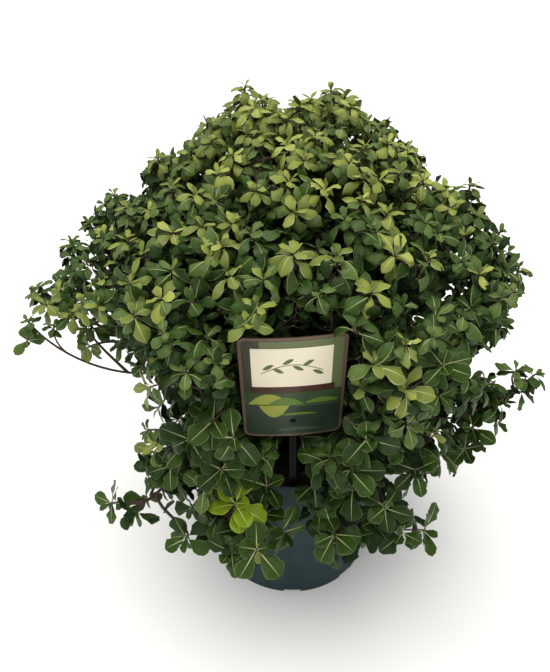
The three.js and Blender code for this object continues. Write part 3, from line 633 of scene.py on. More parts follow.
class Foliage(Piece):
    """A piece of leaves, which knows which of its points lie on a leaf's edge."""

    def __init__(self, name, ring):
        super().__init__(name)
        self.ring = ring
        self.rims, self.nodes = [], []
        self.triangles = 0

    def blades(self, leaves, kind):
        """Leaves as thin closed blades with a petiole, a rib, wavy edges and a bend along their length."""
        n = len(leaves)
        if not n:
            return
        get = lambda key: np.array([leaf[key] for leaf in leaves], float)
        column = lambda key: get(key)[:, None]
        root, ahead, face = get("root"), get("ahead"), get("face")
        side = np.cross(ahead, face)
        length, arch, slope = column("length"), column("arch"), np.tan(column("fold"))
        rows = kind["rows"]
        t = rows[None]
        half = np.sin(math.pi * t ** column("swell")) ** BLADE.outline * column("width") / 2
        rib = mix(column("rib"), BLADE.rib_end, t ** BLADE.taper) * length
        rib = np.minimum(rib, BLADE.rib_part * np.maximum(half, BLADE.thin_rib))
        half = np.maximum(half, BLADE.foot * (1 - t) + BLADE.thinnest)
        swing = np.sin(math.pi * t) ** BLADE.swing
        ripples = [swing * np.sin(TURN * column("waves") * t + get("phase")[:, k : k + 1]) for k in (0, 1)]
        # The line down the leaf, from its blade's foot
        steps = np.diff(rows) * length
        bend = arch * (0.5 * (rows[1:] + rows[:-1])) ** BLADE.curl
        foot = column("petiole")
        along = np.concatenate([foot, foot + np.cumsum(steps * np.cos(bend), axis=1)], axis=1)
        down = np.concatenate([0 * foot, np.cumsum(steps * np.sin(bend), axis=1)], axis=1)
        # The petiole is one more row in front
        grow = lambda values, first: np.concatenate([np.broadcast_to(first, (n, 1)), values], axis=1)
        along, down, tilt = grow(along, 0), grow(down, 0), grow(arch * t ** BLADE.curl, 0)
        half, rib = grow(half, BLADE.petiole), grow(rib, BLADE.thin_rib)
        ripples = [grow(ripple, 0) for ripple in ripples]

        middle = root[:, None] + along[..., None] * ahead[:, None] - down[..., None] * face[:, None]
        up = np.cos(tilt)[..., None] * face[:, None] + np.sin(tilt)[..., None] * ahead[:, None]
        ring, count = len(kind["across"]), middle.shape[1]
        points = np.empty((n, count, ring, 3))
        for k, u in enumerate(kind["across"]):
            rippled = ripples[0] if u < 0 else ripples[1]
            size = abs(u)
            if size == RIB:
                out = rib * np.sign(u)
                rise = np.abs(out) * slope + BLADE.rib_rise
            elif k == ring - 1:
                out = 0 * half
                rise = out - LEAF.thick
            else:
                out = half * u * (1 + BLADE.scallop * rippled * size)
                bulge = BLADE.bulge * half * 4 * size * (1 - size)
                rise = np.abs(out) * slope + column("wave") * rippled * size + bulge
            points[:, :, k] = middle + out[..., None] * side[:, None] + rise[..., None] * up

        looks = np.tile(kind["looks"], (count - 1, 1))
        looks[0] = MIDRIB
        looks[-1][looks[-1] == MIDRIB] = LAMINA
        quads = bands(count, ring)[None] + (np.arange(n) * count * ring)[:, None, None]
        first = np.array([4 * leaf["look"] for leaf in leaves])
        self.add(points, quads, (looks.reshape(-1)[None] + first[:, None]).reshape(-1))
        rim = np.zeros((count, ring), np.int8)
        rim[:, 0], rim[:, ring - 2] = 1, 2
        self.rims.append(np.tile(rim.reshape(-1), n))
        self.triangles += 2 * quads.size // 4

    def make(self, materials):
        return super().make(materials, marks=np.concatenate(self.rims))


def fits(leaf, sight, trimmed):
    """Whether a leaf's middle, tip and edges are clear of other things and in the crown's outline."""
    side = np.cross(leaf["ahead"], leaf["face"]) * leaf["width"] / 2
    reach = leaf["petiole"] + leaf["length"]
    middle = leaf["root"] + leaf["ahead"] * reach * 0.6
    drop = leaf["face"] * leaf["length"] * math.sin(leaf["arch"] * 0.5) * 0.8
    tip = leaf["root"] + leaf["ahead"] * reach * math.cos(leaf["arch"] * 0.5) - drop
    spots = np.array([leaf["root"], middle + side, middle - side, middle - drop * 0.4, tip])
    return bool(clear_of_things(spots, 0, sight, trimmed).all())


def habit(name, upright):
    """A measure of the leaves of a shoot that is this upright."""
    return mix(getattr(ROSETTE, name), getattr(UPRIGHT, name), upright)


def leaf_on(rng, line, ways, lengths, turn, place, shoot):
    """One leaf of a shoot, at its place on the line."""
    back, grown, age, open_angle, arch = place
    at = max(0.0, lengths[-1] - back)
    root, way = (vec(*(np.interp(at, lengths, row) for row in values.T)) for values in (line, ways))
    way = unit(way)
    side = square_to(way, vec(0.31, 0.17, 0.94))
    round_way = math.cos(turn) * side + math.sin(turn) * np.cross(way, side)
    upright = shoot["upright"]
    open_angle = open_angle * RAD + rng.gauss(0, CHANCE.opens)
    ahead = unit(round_way * math.sin(open_angle) + way * math.cos(open_angle))
    ahead = unit(ahead - vec(0, 0, SAG * age))
    face = square_to(ahead, way + vec(0, 0, 0.35))
    roll = rng.gauss(0, CHANCE.roll)
    side = np.cross(ahead, face)
    face = unit(face * math.cos(roll) + side * math.sin(roll))
    length = mix(LEAF.youngest, shoot["size"], grown) * rng.uniform(*CHANCE.length)
    value = mix(DULL - FRESHER * shoot["fresh"], shoot["oldest"], age * shoot["fade"])
    value += rng.gauss(0, CHANCE.look)
    look = int(min(max(value, 0), 0.999) * (LOOKS.index("deep") + 1))
    if "look" in shoot:
        look = LOOKS.index(shoot["look"])
    inner = shoot.get("inner", False)
    # Leaves deep in the crown take a painted shade colour, lighter at the crown's top
    if inner:
        look = INNER_SHADE_LOOKS[int(root[2] > PAINTED_SHADE_TOP)]
    return dict(
        root=root - ahead * 0.6, ahead=ahead, face=face, length=length,
        width=length * habit("wide", upright) * rng.uniform(*CHANCE.width),
        arch=arch * RAD * rng.uniform(*CHANCE.arch),
        fold=mix(YOUNG_FOLD, habit("fold", upright), grown) * rng.uniform(*CHANCE.fold),
        wave=length * habit("wave", upright) * rng.uniform(*CHANCE.wave), rib=habit("rib", upright),
        phase=(rng.uniform(0, TURN), rng.uniform(0, TURN)), waves=rng.uniform(*CHANCE.waves),
        edged=rng.random() < EDGED_PART, swell=rng.uniform(*CHANCE.swell),
        petiole=LEAF.petiole * rng.uniform(*CHANCE.petiole) * (0.3 + 0.7 * grown) * length / LEAF.common,
        look=look, inner=inner, grand=shoot.get("grand", False),
    )


def leaf_places(shoot, whole):
    """How far back each leaf of a shoot stands, its share of full size, its age, how it opens and arches."""
    upright = shoot["upright"]
    spread = shoot["size"] / MIDDLING
    end = min(whole - BARE_FOOT, shoot.get("leafy", whole))
    places = []
    for i in range(min(shoot["leaves"], WHORL.count)):
        t = min(1.0, i / habit("steps", upright))
        back = WHORL.first + i * WHORL.space + i * i * WHORL.wider
        opened = mix(mix(*ROSETTE.opens, t ** 0.6), mix(*UPRIGHT.opens, t ** 0.5), upright)
        arched = mix(mix(*ROSETTE.arches, t), mix(*UPRIGHT.arches, min(1, 2.5 * t) ** 0.6), upright)
        grown = mix(ROSETTE.grown + ROSETTE.gains * i, UPRIGHT.grown + UPRIGHT.gains * i, upright)
        places.append((back * spread, min(1.0, grown), habit("age", upright) * t ** 1.4, opened, arched))
    for i in range(max(0, shoot["leaves"] - WHORL.count)):
        back = OLD_WHORL.first + i * OLD_WHORL.space
        age = mix(0.8, 1, i / OLD_WHORL.count)
        places.append((back * spread, 1.0, age, OLD_WHORL.opens, habit("old_arches", upright)))
    back = (OLD_WHORL.first + OLD_WHORL.count * OLD_WHORL.space) * spread + OLD_WHORL.below
    while back < end:
        places.append((back, 1.0, 1.0, OLD_WHORL.below_opens, habit("below_arches", upright)))
        back += OLD_WHORL.below
    return [place for place in places if place[0] < end]


def shoot_leaves(rng, line, shoot):
    """The leaves of one shoot, each a golden turn on from the last."""
    ways = ways_along(line)
    lengths = np.concatenate([[0], np.cumsum(np.linalg.norm(np.diff(line, axis=0), axis=1))])
    turn = rng.uniform(0, TURN)
    leaves = []
    for place in leaf_places(shoot, lengths[-1]):
        turn += GOLDEN + rng.gauss(0, CHANCE.turn)
        leaves.append(leaf_on(rng, line, ways, lengths, turn, place, shoot))
    sight = not shoot.get("low") or shoot["tip"][2] > 260
    return [leaf for leaf in leaves if fits(leaf, sight, "tip" not in shoot)]


def height_share(z, low, high):
    return float(np.clip((z - low) / (high - low), 0, 1))


def shoot_way(tip, rng, loose):
    """The way a shoot's end points: outward low on the crown, and upward from its middle on."""
    out = unit(vec(tip[0] - CROWN.lean, tip[1], 0))
    slope = float(np.interp(tip[2], *SLOPES)) * RAD
    stray = vec(*(rng.gauss(0, loose) for _ in range(3)))
    return unit(out * math.cos(slope) + vec(0, 0, math.sin(slope)) + stray)


def shoot_at(tip, rng):
    """How a shoot grows at a tip: most young growth is on top of the crown and at its outline."""
    high = height_share(tip[2], CROWN.bottom, CROWN.top)
    out = float(np.clip((float(crown_share(tip)) - FRESH.share) / FRESH.over, 0, 1))
    fresh = mix(FRESH.low, FRESH.high, high ** FRESH.power) * mix(FRESH.inner, 1, out)
    fresh += rng.gauss(0, FRESH.chance)
    upright = height_share(tip[2], ROSETTE_Z, UPRIGHT_Z)
    if rng.random() < LIME_PART:
        fresh = 1
    return dict(
        size=float(np.interp(tip[2], *LENGTHS)) * rng.uniform(*SHOOT_CHANCE),
        fresh=float(np.clip(fresh, 0, 1)), upright=upright, leaves=round(habit("leaves", upright)),
    )


def twig_to(tip, joints, end_way):
    """The line of a twig to a tip, from the joint that reaches it most directly, and its first radius."""
    best = None
    for point, joint_way, radius in joints:
        to_tip = tip - point
        far = np.linalg.norm(to_tip)
        cost = far * (1 + TWIG.straighter * (1 - float(to_tip @ joint_way) / far))
        if TWIG.shortest < far < TWIG.longest and (best is None or cost < best[0]):
            best = (cost, point, joint_way, radius, far)
    if best is None:
        return None, 0
    cost, point, joint_way, radius, far = best
    start_way = unit(joint_way + unit(tip - point) * 1.2)
    line = bezier([point, point + start_way * far * 0.34, tip - end_way * far * 0.42, tip], 8)
    return line, radius * 0.82


def slimness(mass):
    """The share of its plain thickness that a mass's wood has: less in the strays."""
    return BOUGH.stray_slim if mass["ring"] == "stray" else 1


def features_of(mass, masses):
    """The feature shoots whose tips are nearest to this mass's heart."""
    hearts = np.array([other["heart"] for other in masses])
    index = masses.index(mass)
    return [f for f in FEATURES if np.argmin(np.linalg.norm(hearts - f["tip"], axis=1)) == index]


def painted_light_oldest_at(z):
    """The look of the oldest leaves, with painted light: at the crown's top, where more light falls, they are
    less dark.
    """
    return mix(1.0, 0.45, height_share(z, 440, 520))


def grow_mass(mass, masses, twigs):
    """A mass's stem, twigs and leaves."""
    rng = random.Random(mass["seed"])
    start, way = mass["entry"]
    reach = np.linalg.norm(mass["heart"] - start)
    stem = bezier([start + way * GAP, start + way * reach * 0.5, mass["heart"]], 10)
    thick = slimness(mass) * BOUGH.tip_radius
    tube(twigs, stem, np.linspace(thick, min(thick, TWIG.joint), len(stem)), 8)
    ways = ways_along(stem)
    joints = [(stem[i], ways[i], TWIG.joint) for i in (3, 6, 10)]
    if mass["ring"] == "stray":
        bough = mass["bough"]
        joints += [(bough[i], ways_along(bough)[i], TWIG.joint) for i in (24, 31)]

    leaves = []
    features = features_of(mass, masses)
    wanted = [(f["tip"], f, False) for f in features]
    others = [(tip, None, inner) for tip, inner in pick_tips(mass, masses, features)]
    wanted += sorted(others, key=lambda item: np.linalg.norm(item[0] - mass["heart"]))
    for tip, feature, inner in wanted:
        if feature:
            end_way = shoot_way(tip, rng, 0.06)
            if "way" in feature:
                end_way = unit(LENS - tip) if feature["way"] == "lens" else unit(vec(*feature["way"]))
            shoot = {"upright": 1, "leaves": FULL_COUNT, **feature}
        else:
            end_way = shoot_way(tip, rng, TWIG.loose)
            shoot = INNER_SHOOT if inner else shoot_at(tip, rng)
        # The oldest leaves' look holds painted light: less dark at the crown's top
        shoot = {"oldest": painted_light_oldest_at(tip[2]), "fade": 1, **shoot}
        shoot["fresh"] += 0.2 * height_share(tip[2], 410, 510)
        if "route" in shoot:
            line, radius = bezier(shoot["route"], 16), shoot["radius"]
        else:
            line, radius = twig_to(tip, joints, end_way)
            if line is None or not clear_of_things(line[2:], 1, not feature, not feature).all():
                continue
        tube(twigs, line, np.linspace(radius, TWIG.tip * min(1, radius), len(line)), 5)
        line_ways = ways_along(line)
        for i in (3, 5) if "route" not in shoot else ():
            joints.append((line[i], line_ways[i], mix(radius, TWIG.tip, i / 8)))
        leaves += shoot_leaves(rng, line, shoot)
    return leaves


def linear(hex_colour):
    """An sRGB colour such as 0x4f6e2c as linear values."""
    parts = [((hex_colour >> shift) & 255) / 255 for shift in (16, 8, 0)]
    return [p / 12.92 if p <= 0.04045 else ((p + 0.055) / 1.055) ** 2.4 for p in parts] + [1]


def plain_material(name, colour, roughness, **values):
    material = bpy.data.materials.new(name)
    material.use_nodes = True
    shader = material.node_tree.nodes["Principled BSDF"]
    shader.inputs["Base Color"].default_value = linear(colour)
    shader.inputs["Roughness"].default_value = roughness
    for key, value in values.items():
        shader.inputs[key.replace("_", " ")].default_value = value
    return material


def noisy_material(
    name, colour, roughness, relief, detail=3, stretch=(1, 1, 1), mottle=None, span=(0.35, 0.7), **values
):
    """A material with relief from noise in the object's own coordinates, and mottled by it in two colours.

    relief is the noise's scale and the bump's strength and distance, and span where in the noise they lie.
    """
    material = plain_material(name, colour, roughness, **values)
    nodes, links = material.node_tree.nodes, material.node_tree.links
    shader = nodes["Principled BSDF"]
    kinds = "TexCoord", "Mapping", "TexNoise", "Bump"
    where, mapping, texture, bump = (nodes.new("ShaderNode" + kind) for kind in kinds)
    mapping.inputs["Scale"].default_value = stretch
    texture.inputs["Detail"].default_value = detail
    texture.inputs["Scale"].default_value = relief[0]
    bump.inputs["Strength"].default_value, bump.inputs["Distance"].default_value = relief[1:]
    links.new(where.outputs["Object"], mapping.inputs["Vector"])
    links.new(mapping.outputs["Vector"], texture.inputs["Vector"])
    links.new(texture.outputs["Fac"], bump.inputs["Height"])
    links.new(bump.outputs["Normal"], shader.inputs["Normal"])
    if mottle:
        ramp = nodes.new("ShaderNodeValToRGB")
        for element, shade, place in zip(ramp.color_ramp.elements, mottle, span):
            element.color = linear(shade)
            element.position = place
        links.new(texture.outputs["Fac"], ramp.inputs["Fac"])
        links.new(ramp.outputs["Color"], shader.inputs["Base Color"])
    return material


# Each look's blade, rib, edge and underside, from the youngest leaves to the oldest, then a near-black
# painted shade for the leaves deep in the crown, and one bright shoot
LEAF_COLOURS = {
    "lime": (0x929A48, 0xCBCE9A, 0xB8BC80, 0x8A9458),
    "bright": (0x7D873A, 0xBCC08A, 0xA4AA70, 0x7A834C),
    "fresh": (0x6A7634, 0xB0B580, 0x949C68, 0x6E7848),
    "mid": (0x4E622B, 0xA6AC7A, 0x7A8654, 0x5A6744),
    "moss": (0x374E1E, 0xAAB07E, 0x5C6A40, 0x485734),
    "dark": (0x2C4413, 0xA8AD7C, 0x4E6034, 0x384A28),
    "deep": (0x1D320B, 0x929A66, 0x384923, 0x293A20),
    # shade: near-black green, painted shade standing in for the shade deep in the crown
    "shade": (0x111A0B, 0x30391F, 0x19220F, 0x1A2412),
    "sap": (0x70891A, 0xC6CA80, 0x93A03A, 0x74842E),
}
LOOKS = list(LEAF_COLOURS)
# Leaves deep in the crown get painted shade: near-black below some height, moss above it, where less shade
# falls
INNER_SHADE_LOOKS = (LOOKS.index("shade"), LOOKS.index("moss"))
PAINTED_SHADE_TOP = 450


def leaf_materials():
    made = []
    for look, colours in LEAF_COLOURS.items():
        for part, colour, roughness in zip(("blade", "rib", "edge", "under"), colours, (0.44, 0.6, 0.5, 0.7)):
            name = f"leaf_{look}_{part}"
            made.append(noisy_material(name, colour, roughness, (420, 0.25, 0.0006), Specular_IOR_Level=0.15))
    return made


def make_wood(masses):
    """The trunk and boughs in bark, with each mass's entry: where its stem starts, and which way."""
    wood = Piece("trunk_and_boughs")
    rough = lambda p, size: noise.noise(Vector(p) / size)
    bark = lambda p, turn: 1 + 0.1 * rough(p, 7) + 0.05 * rough(p, 2.2)

    def trunk_bark(p, turn):
        ridge = noise.noise(Vector((math.cos(turn) * 2.5, math.sin(turn) * 2.5, p[2] / 26)))
        return 1 + 0.14 * ridge + 0.05 * rough(p, 3)

    heights = np.linspace(COMPOST_TOP + GAP, TRUNK.tip, 90)
    line = np.array([trunk_at(z) for z in heights])
    above = heights - COMPOST_TOP
    flare = TRUNK.flare * np.exp(-above / TRUNK.flare_height)
    radii = mix(TRUNK.radius, TRUNK.tip_radius, above / (TRUNK.tip - COMPOST_TOP)) + flare
    tube(wood, line, radii, 32, relief=trunk_bark)
    covered = ["trunk"]
    for mass in masses:
        if mass["name"] == "leader":
            mass["entry"] = (line[-1], vec(0, 0, 1))
            continue
        bough = bough_line(mass)
        radii = slimness(mass) * np.linspace(mass["radius"], BOUGH.tip_radius, len(bough))
        tube(wood, bough, radii, 14, relief=bark)
        mass["bough"] = bough
        mass["entry"] = (bough[-1], ways_along(bough)[-1])
        covered.append("bough_" + mass["name"])
    stuff = noisy_material("bark", 0x3C2B23, 0.8, (260, 0.5, 0.0012), detail=6, mottle=(0x241914, 0x544137))
    wood_object = wood.make([stuff])
    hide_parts(*covered)


def grow_plant():
    """Trunk, boughs, twigs and leaves, and what they replace."""
    masses = lay_out_masses()
    settle_features()
    make_wood(masses)
    twigs = Piece("twigs")
    foliage = []
    for mass in masses:
        leaves = grow_mass(mass, masses, twigs)
        sorts = [(kind, [leaf for leaf in leaves if kind_of(leaf) is kind]) for kind in KINDS]
        extra = sum(2 * len(kind["rows"]) * len(kind["across"]) * len(some) for kind, some in sorts)
        group = [piece for piece in foliage if piece.ring == mass["ring"]]
        if not group or group[-1].triangles + extra > MOST_TRIANGLES:
            group.append(Foliage(f"leaves_{mass['ring']}_{len(group) + 1}", mass["ring"]))
            foliage.append(group[-1])
        for kind, some in sorts:
            group[-1].blades(some, kind)
        group[-1].nodes.append("foliage_" + mass["name"])

    stuff = noisy_material("twig_bark", 0x452C20, 0.6, (500, 0.3, 0.0006), mottle=(0x241711, 0x4A3025))
    twig_object = twigs.make([stuff])
    materials = leaf_materials()
    for piece in foliage:
        made = piece.make(materials)
        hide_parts(*piece.nodes)


def turned_rings(radii, heights, segments):
    """Rings of points round the axis, each at a radius and a height."""
    turns = np.linspace(0, TURN, segments, endpoint=False)
    r, z = np.array(radii, float)[:, None], np.array(heights, float)[:, None]
    return np.stack([r * np.cos(turns), r * np.sin(turns), np.repeat(z, segments, 1)], -1)


def rounded(points, radius):
    """A profile with its inner corners rounded off."""
    made = [points[0]]
    for before, corner, after in zip(points, points[1:], points[2:]):
        before, corner, after = map(np.array, (before, corner, after))
        back, on = before - corner, after - corner
        cut = min(radius, 0.45 * np.linalg.norm(back), 0.45 * np.linalg.norm(on))
        made += [tuple(p) for p in bezier([corner + unit(back) * cut, corner, corner + unit(on) * cut], 4)]
    return np.array(made + [points[-1]])


def make_pot():
    under_band = POT.rim - POT.lip - POT.step
    band_foot = POT.height - POT.band
    wall_at = lambda z: mix(POT.base, under_band, z / band_foot)
    rim, height = POT.rim, POT.height
    profile = [
        (0.01, 0), (POT.base, 0), (under_band, band_foot), (rim - POT.lip, band_foot + POT.lip),
        (rim - 0.4, height - 5), (rim, height - 4), (rim, height), (wall_at(height) - POT.wall, height - 1),
        (wall_at(POT.floor) - POT.wall, POT.floor), (0.01, POT.floor),
    ]
    material = noisy_material(
        "pot_plastic", 0x143033, 0.55, (90, 0.12, 0.0008), detail=5, stretch=(1, 1, 0.35),
        mottle=(0x102A2D, 0x183639), span=(0.4, 0.75), Specular_IOR_Level=0.2,
    )
    shell = Piece("pot_shell")
    rings = rounded(profile, 1.1)
    shell.add(turned_rings(*rings.T, 160), bands(len(rings), 160))
    pot = shell.make([material])
    for i in range(DRAIN.count):
        turn = (DRAIN.first + i * 360 / DRAIN.count) * RAD
        bpy.ops.mesh.primitive_cube_add(size=1)
        cutter = bpy.context.object
        cutter.scale = (2 * DRAIN.depth * MM, DRAIN.width * MM, 2 * DRAIN.height * MM)
        cutter.rotation_euler = (0, 0, turn)
        cutter.location = outward(turn) * POT.base * MM
        bpy.context.view_layer.update()
        cut = pot.modifiers.new("notch", "BOOLEAN")
        cut.operation = "DIFFERENCE"
        cut.object = cutter
        with bpy.context.temp_override(object=pot, active_object=pot):
            bpy.ops.object.modifier_apply(modifier=cut.name)
        bpy.data.objects.remove(cutter)
    pot.data.set_sharp_from_angle(angle=30 * RAD)
    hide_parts("pot")
    return wall_at


def make_compost(wall_at):
    """The compost's rough top, with its crumbs, and its plain sides down in the pot."""
    piece = Piece("compost_fill")
    rings, segments = 60, 200
    edge = wall_at(COMPOST_TOP) - POT.wall - GAP
    top = turned_rings(edge * np.linspace(0, 1, rings + 1) ** 0.8, np.zeros(rings + 1), segments)
    for index in np.ndindex(top.shape[:2]):
        p = Vector(top[index])
        lump = sum(height * noise.noise(p / width) for height, width in LUMPS)
        top[index][2] = COMPOST_TOP - 1.2 + lump
    top[0, :, 2] = top[0, :, 2].mean()
    low = wall_at(POT.floor) - POT.wall - GAP
    points = np.concatenate([top, turned_rings([low, 0.01], [POT.floor + GAP] * 2, segments)])
    piece.add(points, bands(len(points), segments)[:, REVERSED])
    relief = 320, 0.9, 0.002
    stuff = noisy_material("compost", 0x2E2017, 0.95, relief, detail=8, mottle=(0x1A110B, 0x4A3425))
    fill = piece.make([stuff])
    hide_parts("compost")

    rng = random.Random(CRUMBS.seed)
    crumbs = Piece("compost_crumbs")
    for _ in range(CRUMBS.count):
        far = edge * math.sqrt(rng.random()) * 0.97
        turn = rng.uniform(0, TURN)
        if far < TRUNK.radius + TRUNK.flare + 2:
            continue
        size = rng.uniform(*CRUMBS.size)
        way = unit(vec(rng.gauss(0, 1), rng.gauss(0, 1), rng.gauss(0, 0.3)))
        middle = outward(turn) * far + vec(0, 0, COMPOST_TOP + 0.4)
        line = middle + way * size * vec(-0.6, -0.3, 0.3, 0.6)[:, None]
        tube(crumbs, line, vec(0.3, 0.5, 0.45, 0.25) * size * 0.8, 6)
    chips = noisy_material("compost_chips", 0x3A281B, 0.9, (600, 0.6, 0.001), mottle=(0x21160E, 0x5C4431))
    crumbs.make([chips], sharp=40)


def on_card(x, z, forward):
    """Points of the bent card: x across, z up, and forward of its middle layer."""
    bend = LABEL.bend
    slope = np.cos(np.arcsin(np.clip(x / bend, -1, 1)))
    back = bend - np.sqrt(bend ** 2 - x ** 2)
    return moved(np.stack([x, back - forward * slope, np.broadcast_to(z, x.shape)], -1), LABEL_FRAME)


def plate(piece, low, high, start, end, front, back, slot, steps=28):
    """A thin plate in the card's plane between two curves, low and high, which are functions of x."""
    across = mix(start, end, (1 - np.cos(np.linspace(0, math.pi, steps + 1))) / 2)
    lows = np.array([low(x) for x in across], float)
    highs = np.array([max(high(x), low(x) + 0.05) for x in across], float)
    corners = (lows, front), (highs, front), (highs, back), (lows, back)
    rings = np.stack([on_card(across, z, forward) for z, forward in corners], 1)
    last = steps * 4
    ends = [[0, 1, 2, 3], [last + 3, last + 2, last + 1, last]]
    piece.add(rings, np.concatenate([bands(steps + 1, 4)[:, REVERSED], ends]), slot)


def rounded_box(left, right, low, high, corner):
    """The low and high curves of a box with round corners."""
    def dip(x):
        into = max(0.0, left + corner - x, x - right + corner)
        return corner - math.sqrt(max(0.0, corner ** 2 - into ** 2))
    return (lambda x: low + dip(x)), (lambda x: high - dip(x))


def leaf_shape(cx, cz, half_length, half_width, tilt):
    """The low and high curves of a leaf lying along x, leaning up by tilt."""
    bulge = lambda x: half_width * max(0.0, 1 - ((x - cx) / half_length) ** 2)
    return (lambda x: cz + tilt * (x - cx) - bulge(x)), (lambda x: cz + tilt * (x - cx) + bulge(x))


def make_card():
    """A bent card with a plain border and generic panels."""
    half, height = LABEL.width / 2, LABEL.height
    card = Piece("label_print")
    colours = {
        "card": 0x6B5548, "surround": 0x3A3A2A, "moss": 0x66704A, "cream": 0xF2E8CF, "strip": 0x43261A,
        "meadow": 0x9AA040, "lawn": 0x5C7A2C, "hedge": 0x33482A, "pond": 0x28382A, "water": 0x3E5238,
        "sprig": 0x5E6B3A,
    }
    slots = {name: i for i, name in enumerate(colours)}
    hole, r = LABEL.hole_height, LABEL.hole_radius
    ring = lambda x: math.sqrt(max(0.0, r * r - x * x))
    under_hole, over_hole = (lambda x: hole - ring(x)), (lambda x: hole + ring(x))
    flat = lambda z: (lambda x: z)
    hill = lambda foot, rise, centre, wide: (lambda x: foot + rise * max(0.0, 1 - ((x - centre) / wide) ** 2))

    def layer(name, bottom, top, start, end, depth, steps=28):
        """A thin layer between two curves, standing proud of the card by tenths of a millimetre."""
        plate(card, bottom, top, start, end, HALF_CARD + 0.1 * depth, HALF_CARD - 0.2, slots[name], steps)

    def pierced(name, bottom, top, left, right, front, back):
        """A plate with the peg's hole left open in it."""
        beside = (bottom, top, left, -r), (bottom, top, r, right)
        for a, b, start, end in (*beside, (bottom, under_hole, -r, r), (over_hole, top, -r, r)):
            plate(card, a, b, start, end, front, back, slots[name], 20)

    low, high = rounded_box(-half, half, 0, height, LABEL.corner)
    pierced("card", low, high, -half, half, HALF_CARD, -HALF_CARD)
    left, right = BORDER - half, half - BORDER
    inner_low, inner_high = rounded_box(left, right, BORDER, height - BORDER, LABEL.corner - 2)
    brim = lambda x: inner_high(x) - 0.4
    # The lower picture: bands of green water under a bright bank, generic in its shapes
    pierced("pond", inner_low, flat(60), left, right, HALF_CARD + 0.1, HALF_CARD - 0.2)
    layer("hedge", flat(46), flat(60), left, right, 2)
    layer("meadow", flat(45), hill(46, 12.5, -20, 17), -37, -3, 3)
    layer("lawn", flat(44), hill(45, 9, -6, 15), -21, 9, 4)
    layer("lawn", flat(45), hill(45.2, 6, 24, 16), 10, 38, 3)
    layer("meadow", hill(43.5, -16, -16, 13), flat(43.5), -29, -3, 2)
    layer("water", flat(41.5), flat(43.4), 2, right - 1, 2)
    layer("lawn", flat(30), hill(30, 3.5, 4, 18), -12, 21, 2)
    layer("water", flat(8), hill(8, 5, 6, 24), -16, 29, 2)
    # The upper part: a dark surround, a mossy right side, a cream panel and a bare strip under it
    layer("surround", flat(60), inner_high, left, right, 1)
    layer("moss", flat(61), brim, right - 9, right - 0.4, 2)
    layer("moss", flat(height - 10.5), brim, left + 14, right - 8, 2)
    layer("cream", flat(68), flat(height - 11), left + 7, right - 9, 3)
    layer("strip", flat(60.5), flat(67.8), left + 5, right - 6, 4)
    # Leaves on a bowed stem, as a generic motif
    bow = lambda x: 84 + 10 * math.sin((x + 26) / 52 * math.pi)
    layer("sprig", bow, lambda x: bow(x) + 0.8, -26, 24, 4, 20)
    for cx, side in ((-20, 1), (-12, -1), (-4, 1), (4, -1), (12, 1), (20, -1)):
        blade = leaf_shape(cx, bow(cx) + 0.4 + side * 4, 4.6, 2.4, 0.55 * side)
        layer("sprig", *blade, cx - 4.6, cx + 4.6, 4, 14)

    looks = dict(
        roughness=0.35, relief=(900, 0.05, 0.0002),
        Specular_IOR_Level=0.3, Coat_Weight=0.08, Coat_Roughness=0.2,
    )
    prints = [noisy_material("label_" + name, colour, **looks) for name, colour in colours.items()]
    made = card.make(prints, sharp=30)
    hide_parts("label_card")


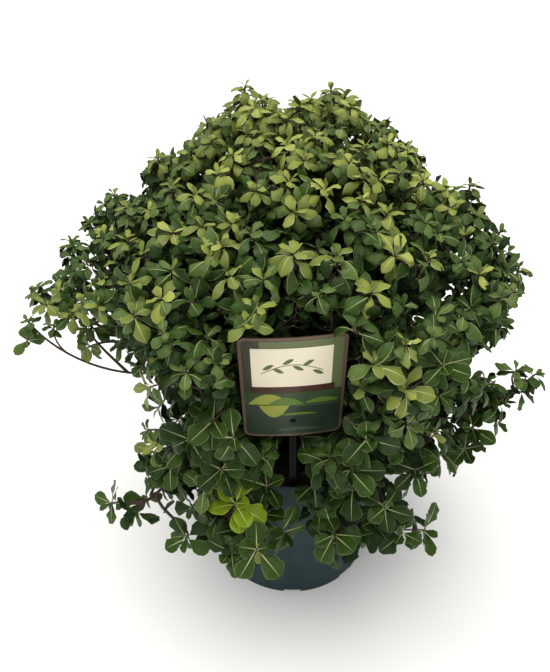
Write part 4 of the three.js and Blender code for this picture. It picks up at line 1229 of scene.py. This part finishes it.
def make_stake():
    """The stake behind the card, grooved down the face towards the card, with the peg that holds the card."""
    stake = Piece("label_spike")
    down = (LABEL.foot[2] - COMPOST_TOP) / math.cos(LABEL.lean * RAD) + STAKE.depth
    wide = STAKE.width / 2
    behind = HALF_CARD + GAP + (LABEL.bend - math.sqrt(LABEL.bend ** 2 - wide ** 2))
    neck = STAKE.point - down
    heights = np.concatenate([np.linspace(-down, neck, 8), np.linspace(neck + 4, STAKE.above, 40)])
    section = [
        (-1, 0.25), (-0.8, 0), (-0.3, 0), (-0.2, 0.35), (0.2, 0.35), (0.3, 0), (0.8, 0), (1, 0.25),
        (1, 0.75), (0.8, 1), (-0.8, 1), (-1, 0.75),
    ]
    widths = [wide * min(1.0, (z + down + 0.6) / STAKE.point) for z in heights]
    rings = [[(x * w, behind + y * STAKE.thick, z) for x, y in section] for w, z in zip(widths, heights)]
    last = (len(heights) - 1) * len(section)
    caps = np.array([[0, 1, 10, 11], [1, 2, 9, 10], [2, 5, 6, 9], [6, 7, 8, 9]]) + last
    stake.add(moved(np.array(rings), LABEL_FRAME), np.concatenate([bands(len(heights), len(section)), caps]))
    peg = np.array([[0, y, LABEL.hole_height] for y in (behind + 1, -HALF_CARD - 0.6, -HALF_CARD - 1)])
    tube(stake, moved(peg, LABEL_FRAME), (2.5, 2.5, 1.9), 24)
    material = noisy_material("stake_plastic", 0x0E140D, 0.6, (200, 0.15, 0.0006), Specular_IOR_Level=0.12)
    made = stake.make([material], sharp=35)
    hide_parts("label_stake")


def add_lamp(name, kind, way, place=(0, 0, 0), **values):
    lamp = bpy.data.lights.new(name, kind)
    for key, value in values.items():
        setattr(lamp, key, value)
    holder = bpy.data.objects.new(name, lamp)
    holder.location = place
    holder.rotation_euler = Vector(way).to_track_quat("-Z", "Y").to_euler()
    bpy.context.collection.objects.link(holder)


def make_stage():
    """The floor, the lights and the camera."""
    bpy.ops.mesh.primitive_plane_add(size=60)
    floor = bpy.context.object
    floor.name = "floor"
    floor.data.materials.append(plain_material("floor_paper", 0xF4F4F2, 0.9))

    scene = bpy.context.scene
    scene.world = bpy.data.worlds.new("sky")
    scene.world.use_nodes = True
    background = scene.world.node_tree.nodes["Background"]
    background.inputs["Color"].default_value = (0.98, 0.99, 1, 1)
    background.inputs["Strength"].default_value = 0.4
    add_lamp("key", "SUN", (0.1, 0.16, -1), energy=3.5, angle=75 * RAD, color=(1, 0.985, 0.95))
    add_lamp("fill", "AREA", (-0.5, 1.7, -1), (0.5, -1.7, 1.3), shape="DISK", size=1.4, energy=5)

    lens = bpy.data.cameras.new("camera")
    lens.sensor_width = CAMERA.sensor
    lens.lens = CAMERA.focal * CAMERA.sensor / max(CAMERA.width, CAMERA.height)
    camera = bpy.data.objects.new("camera", lens)
    camera.location = LENS * MM
    camera.rotation_euler = ((90 - CAMERA.down) * RAD, 0, 0)
    scene.collection.objects.link(camera)
    scene.camera = camera
    scene.view_settings.view_transform = "Standard"


make_stage()
grow_plant()
make_compost(make_pot())
make_card()
make_stake()
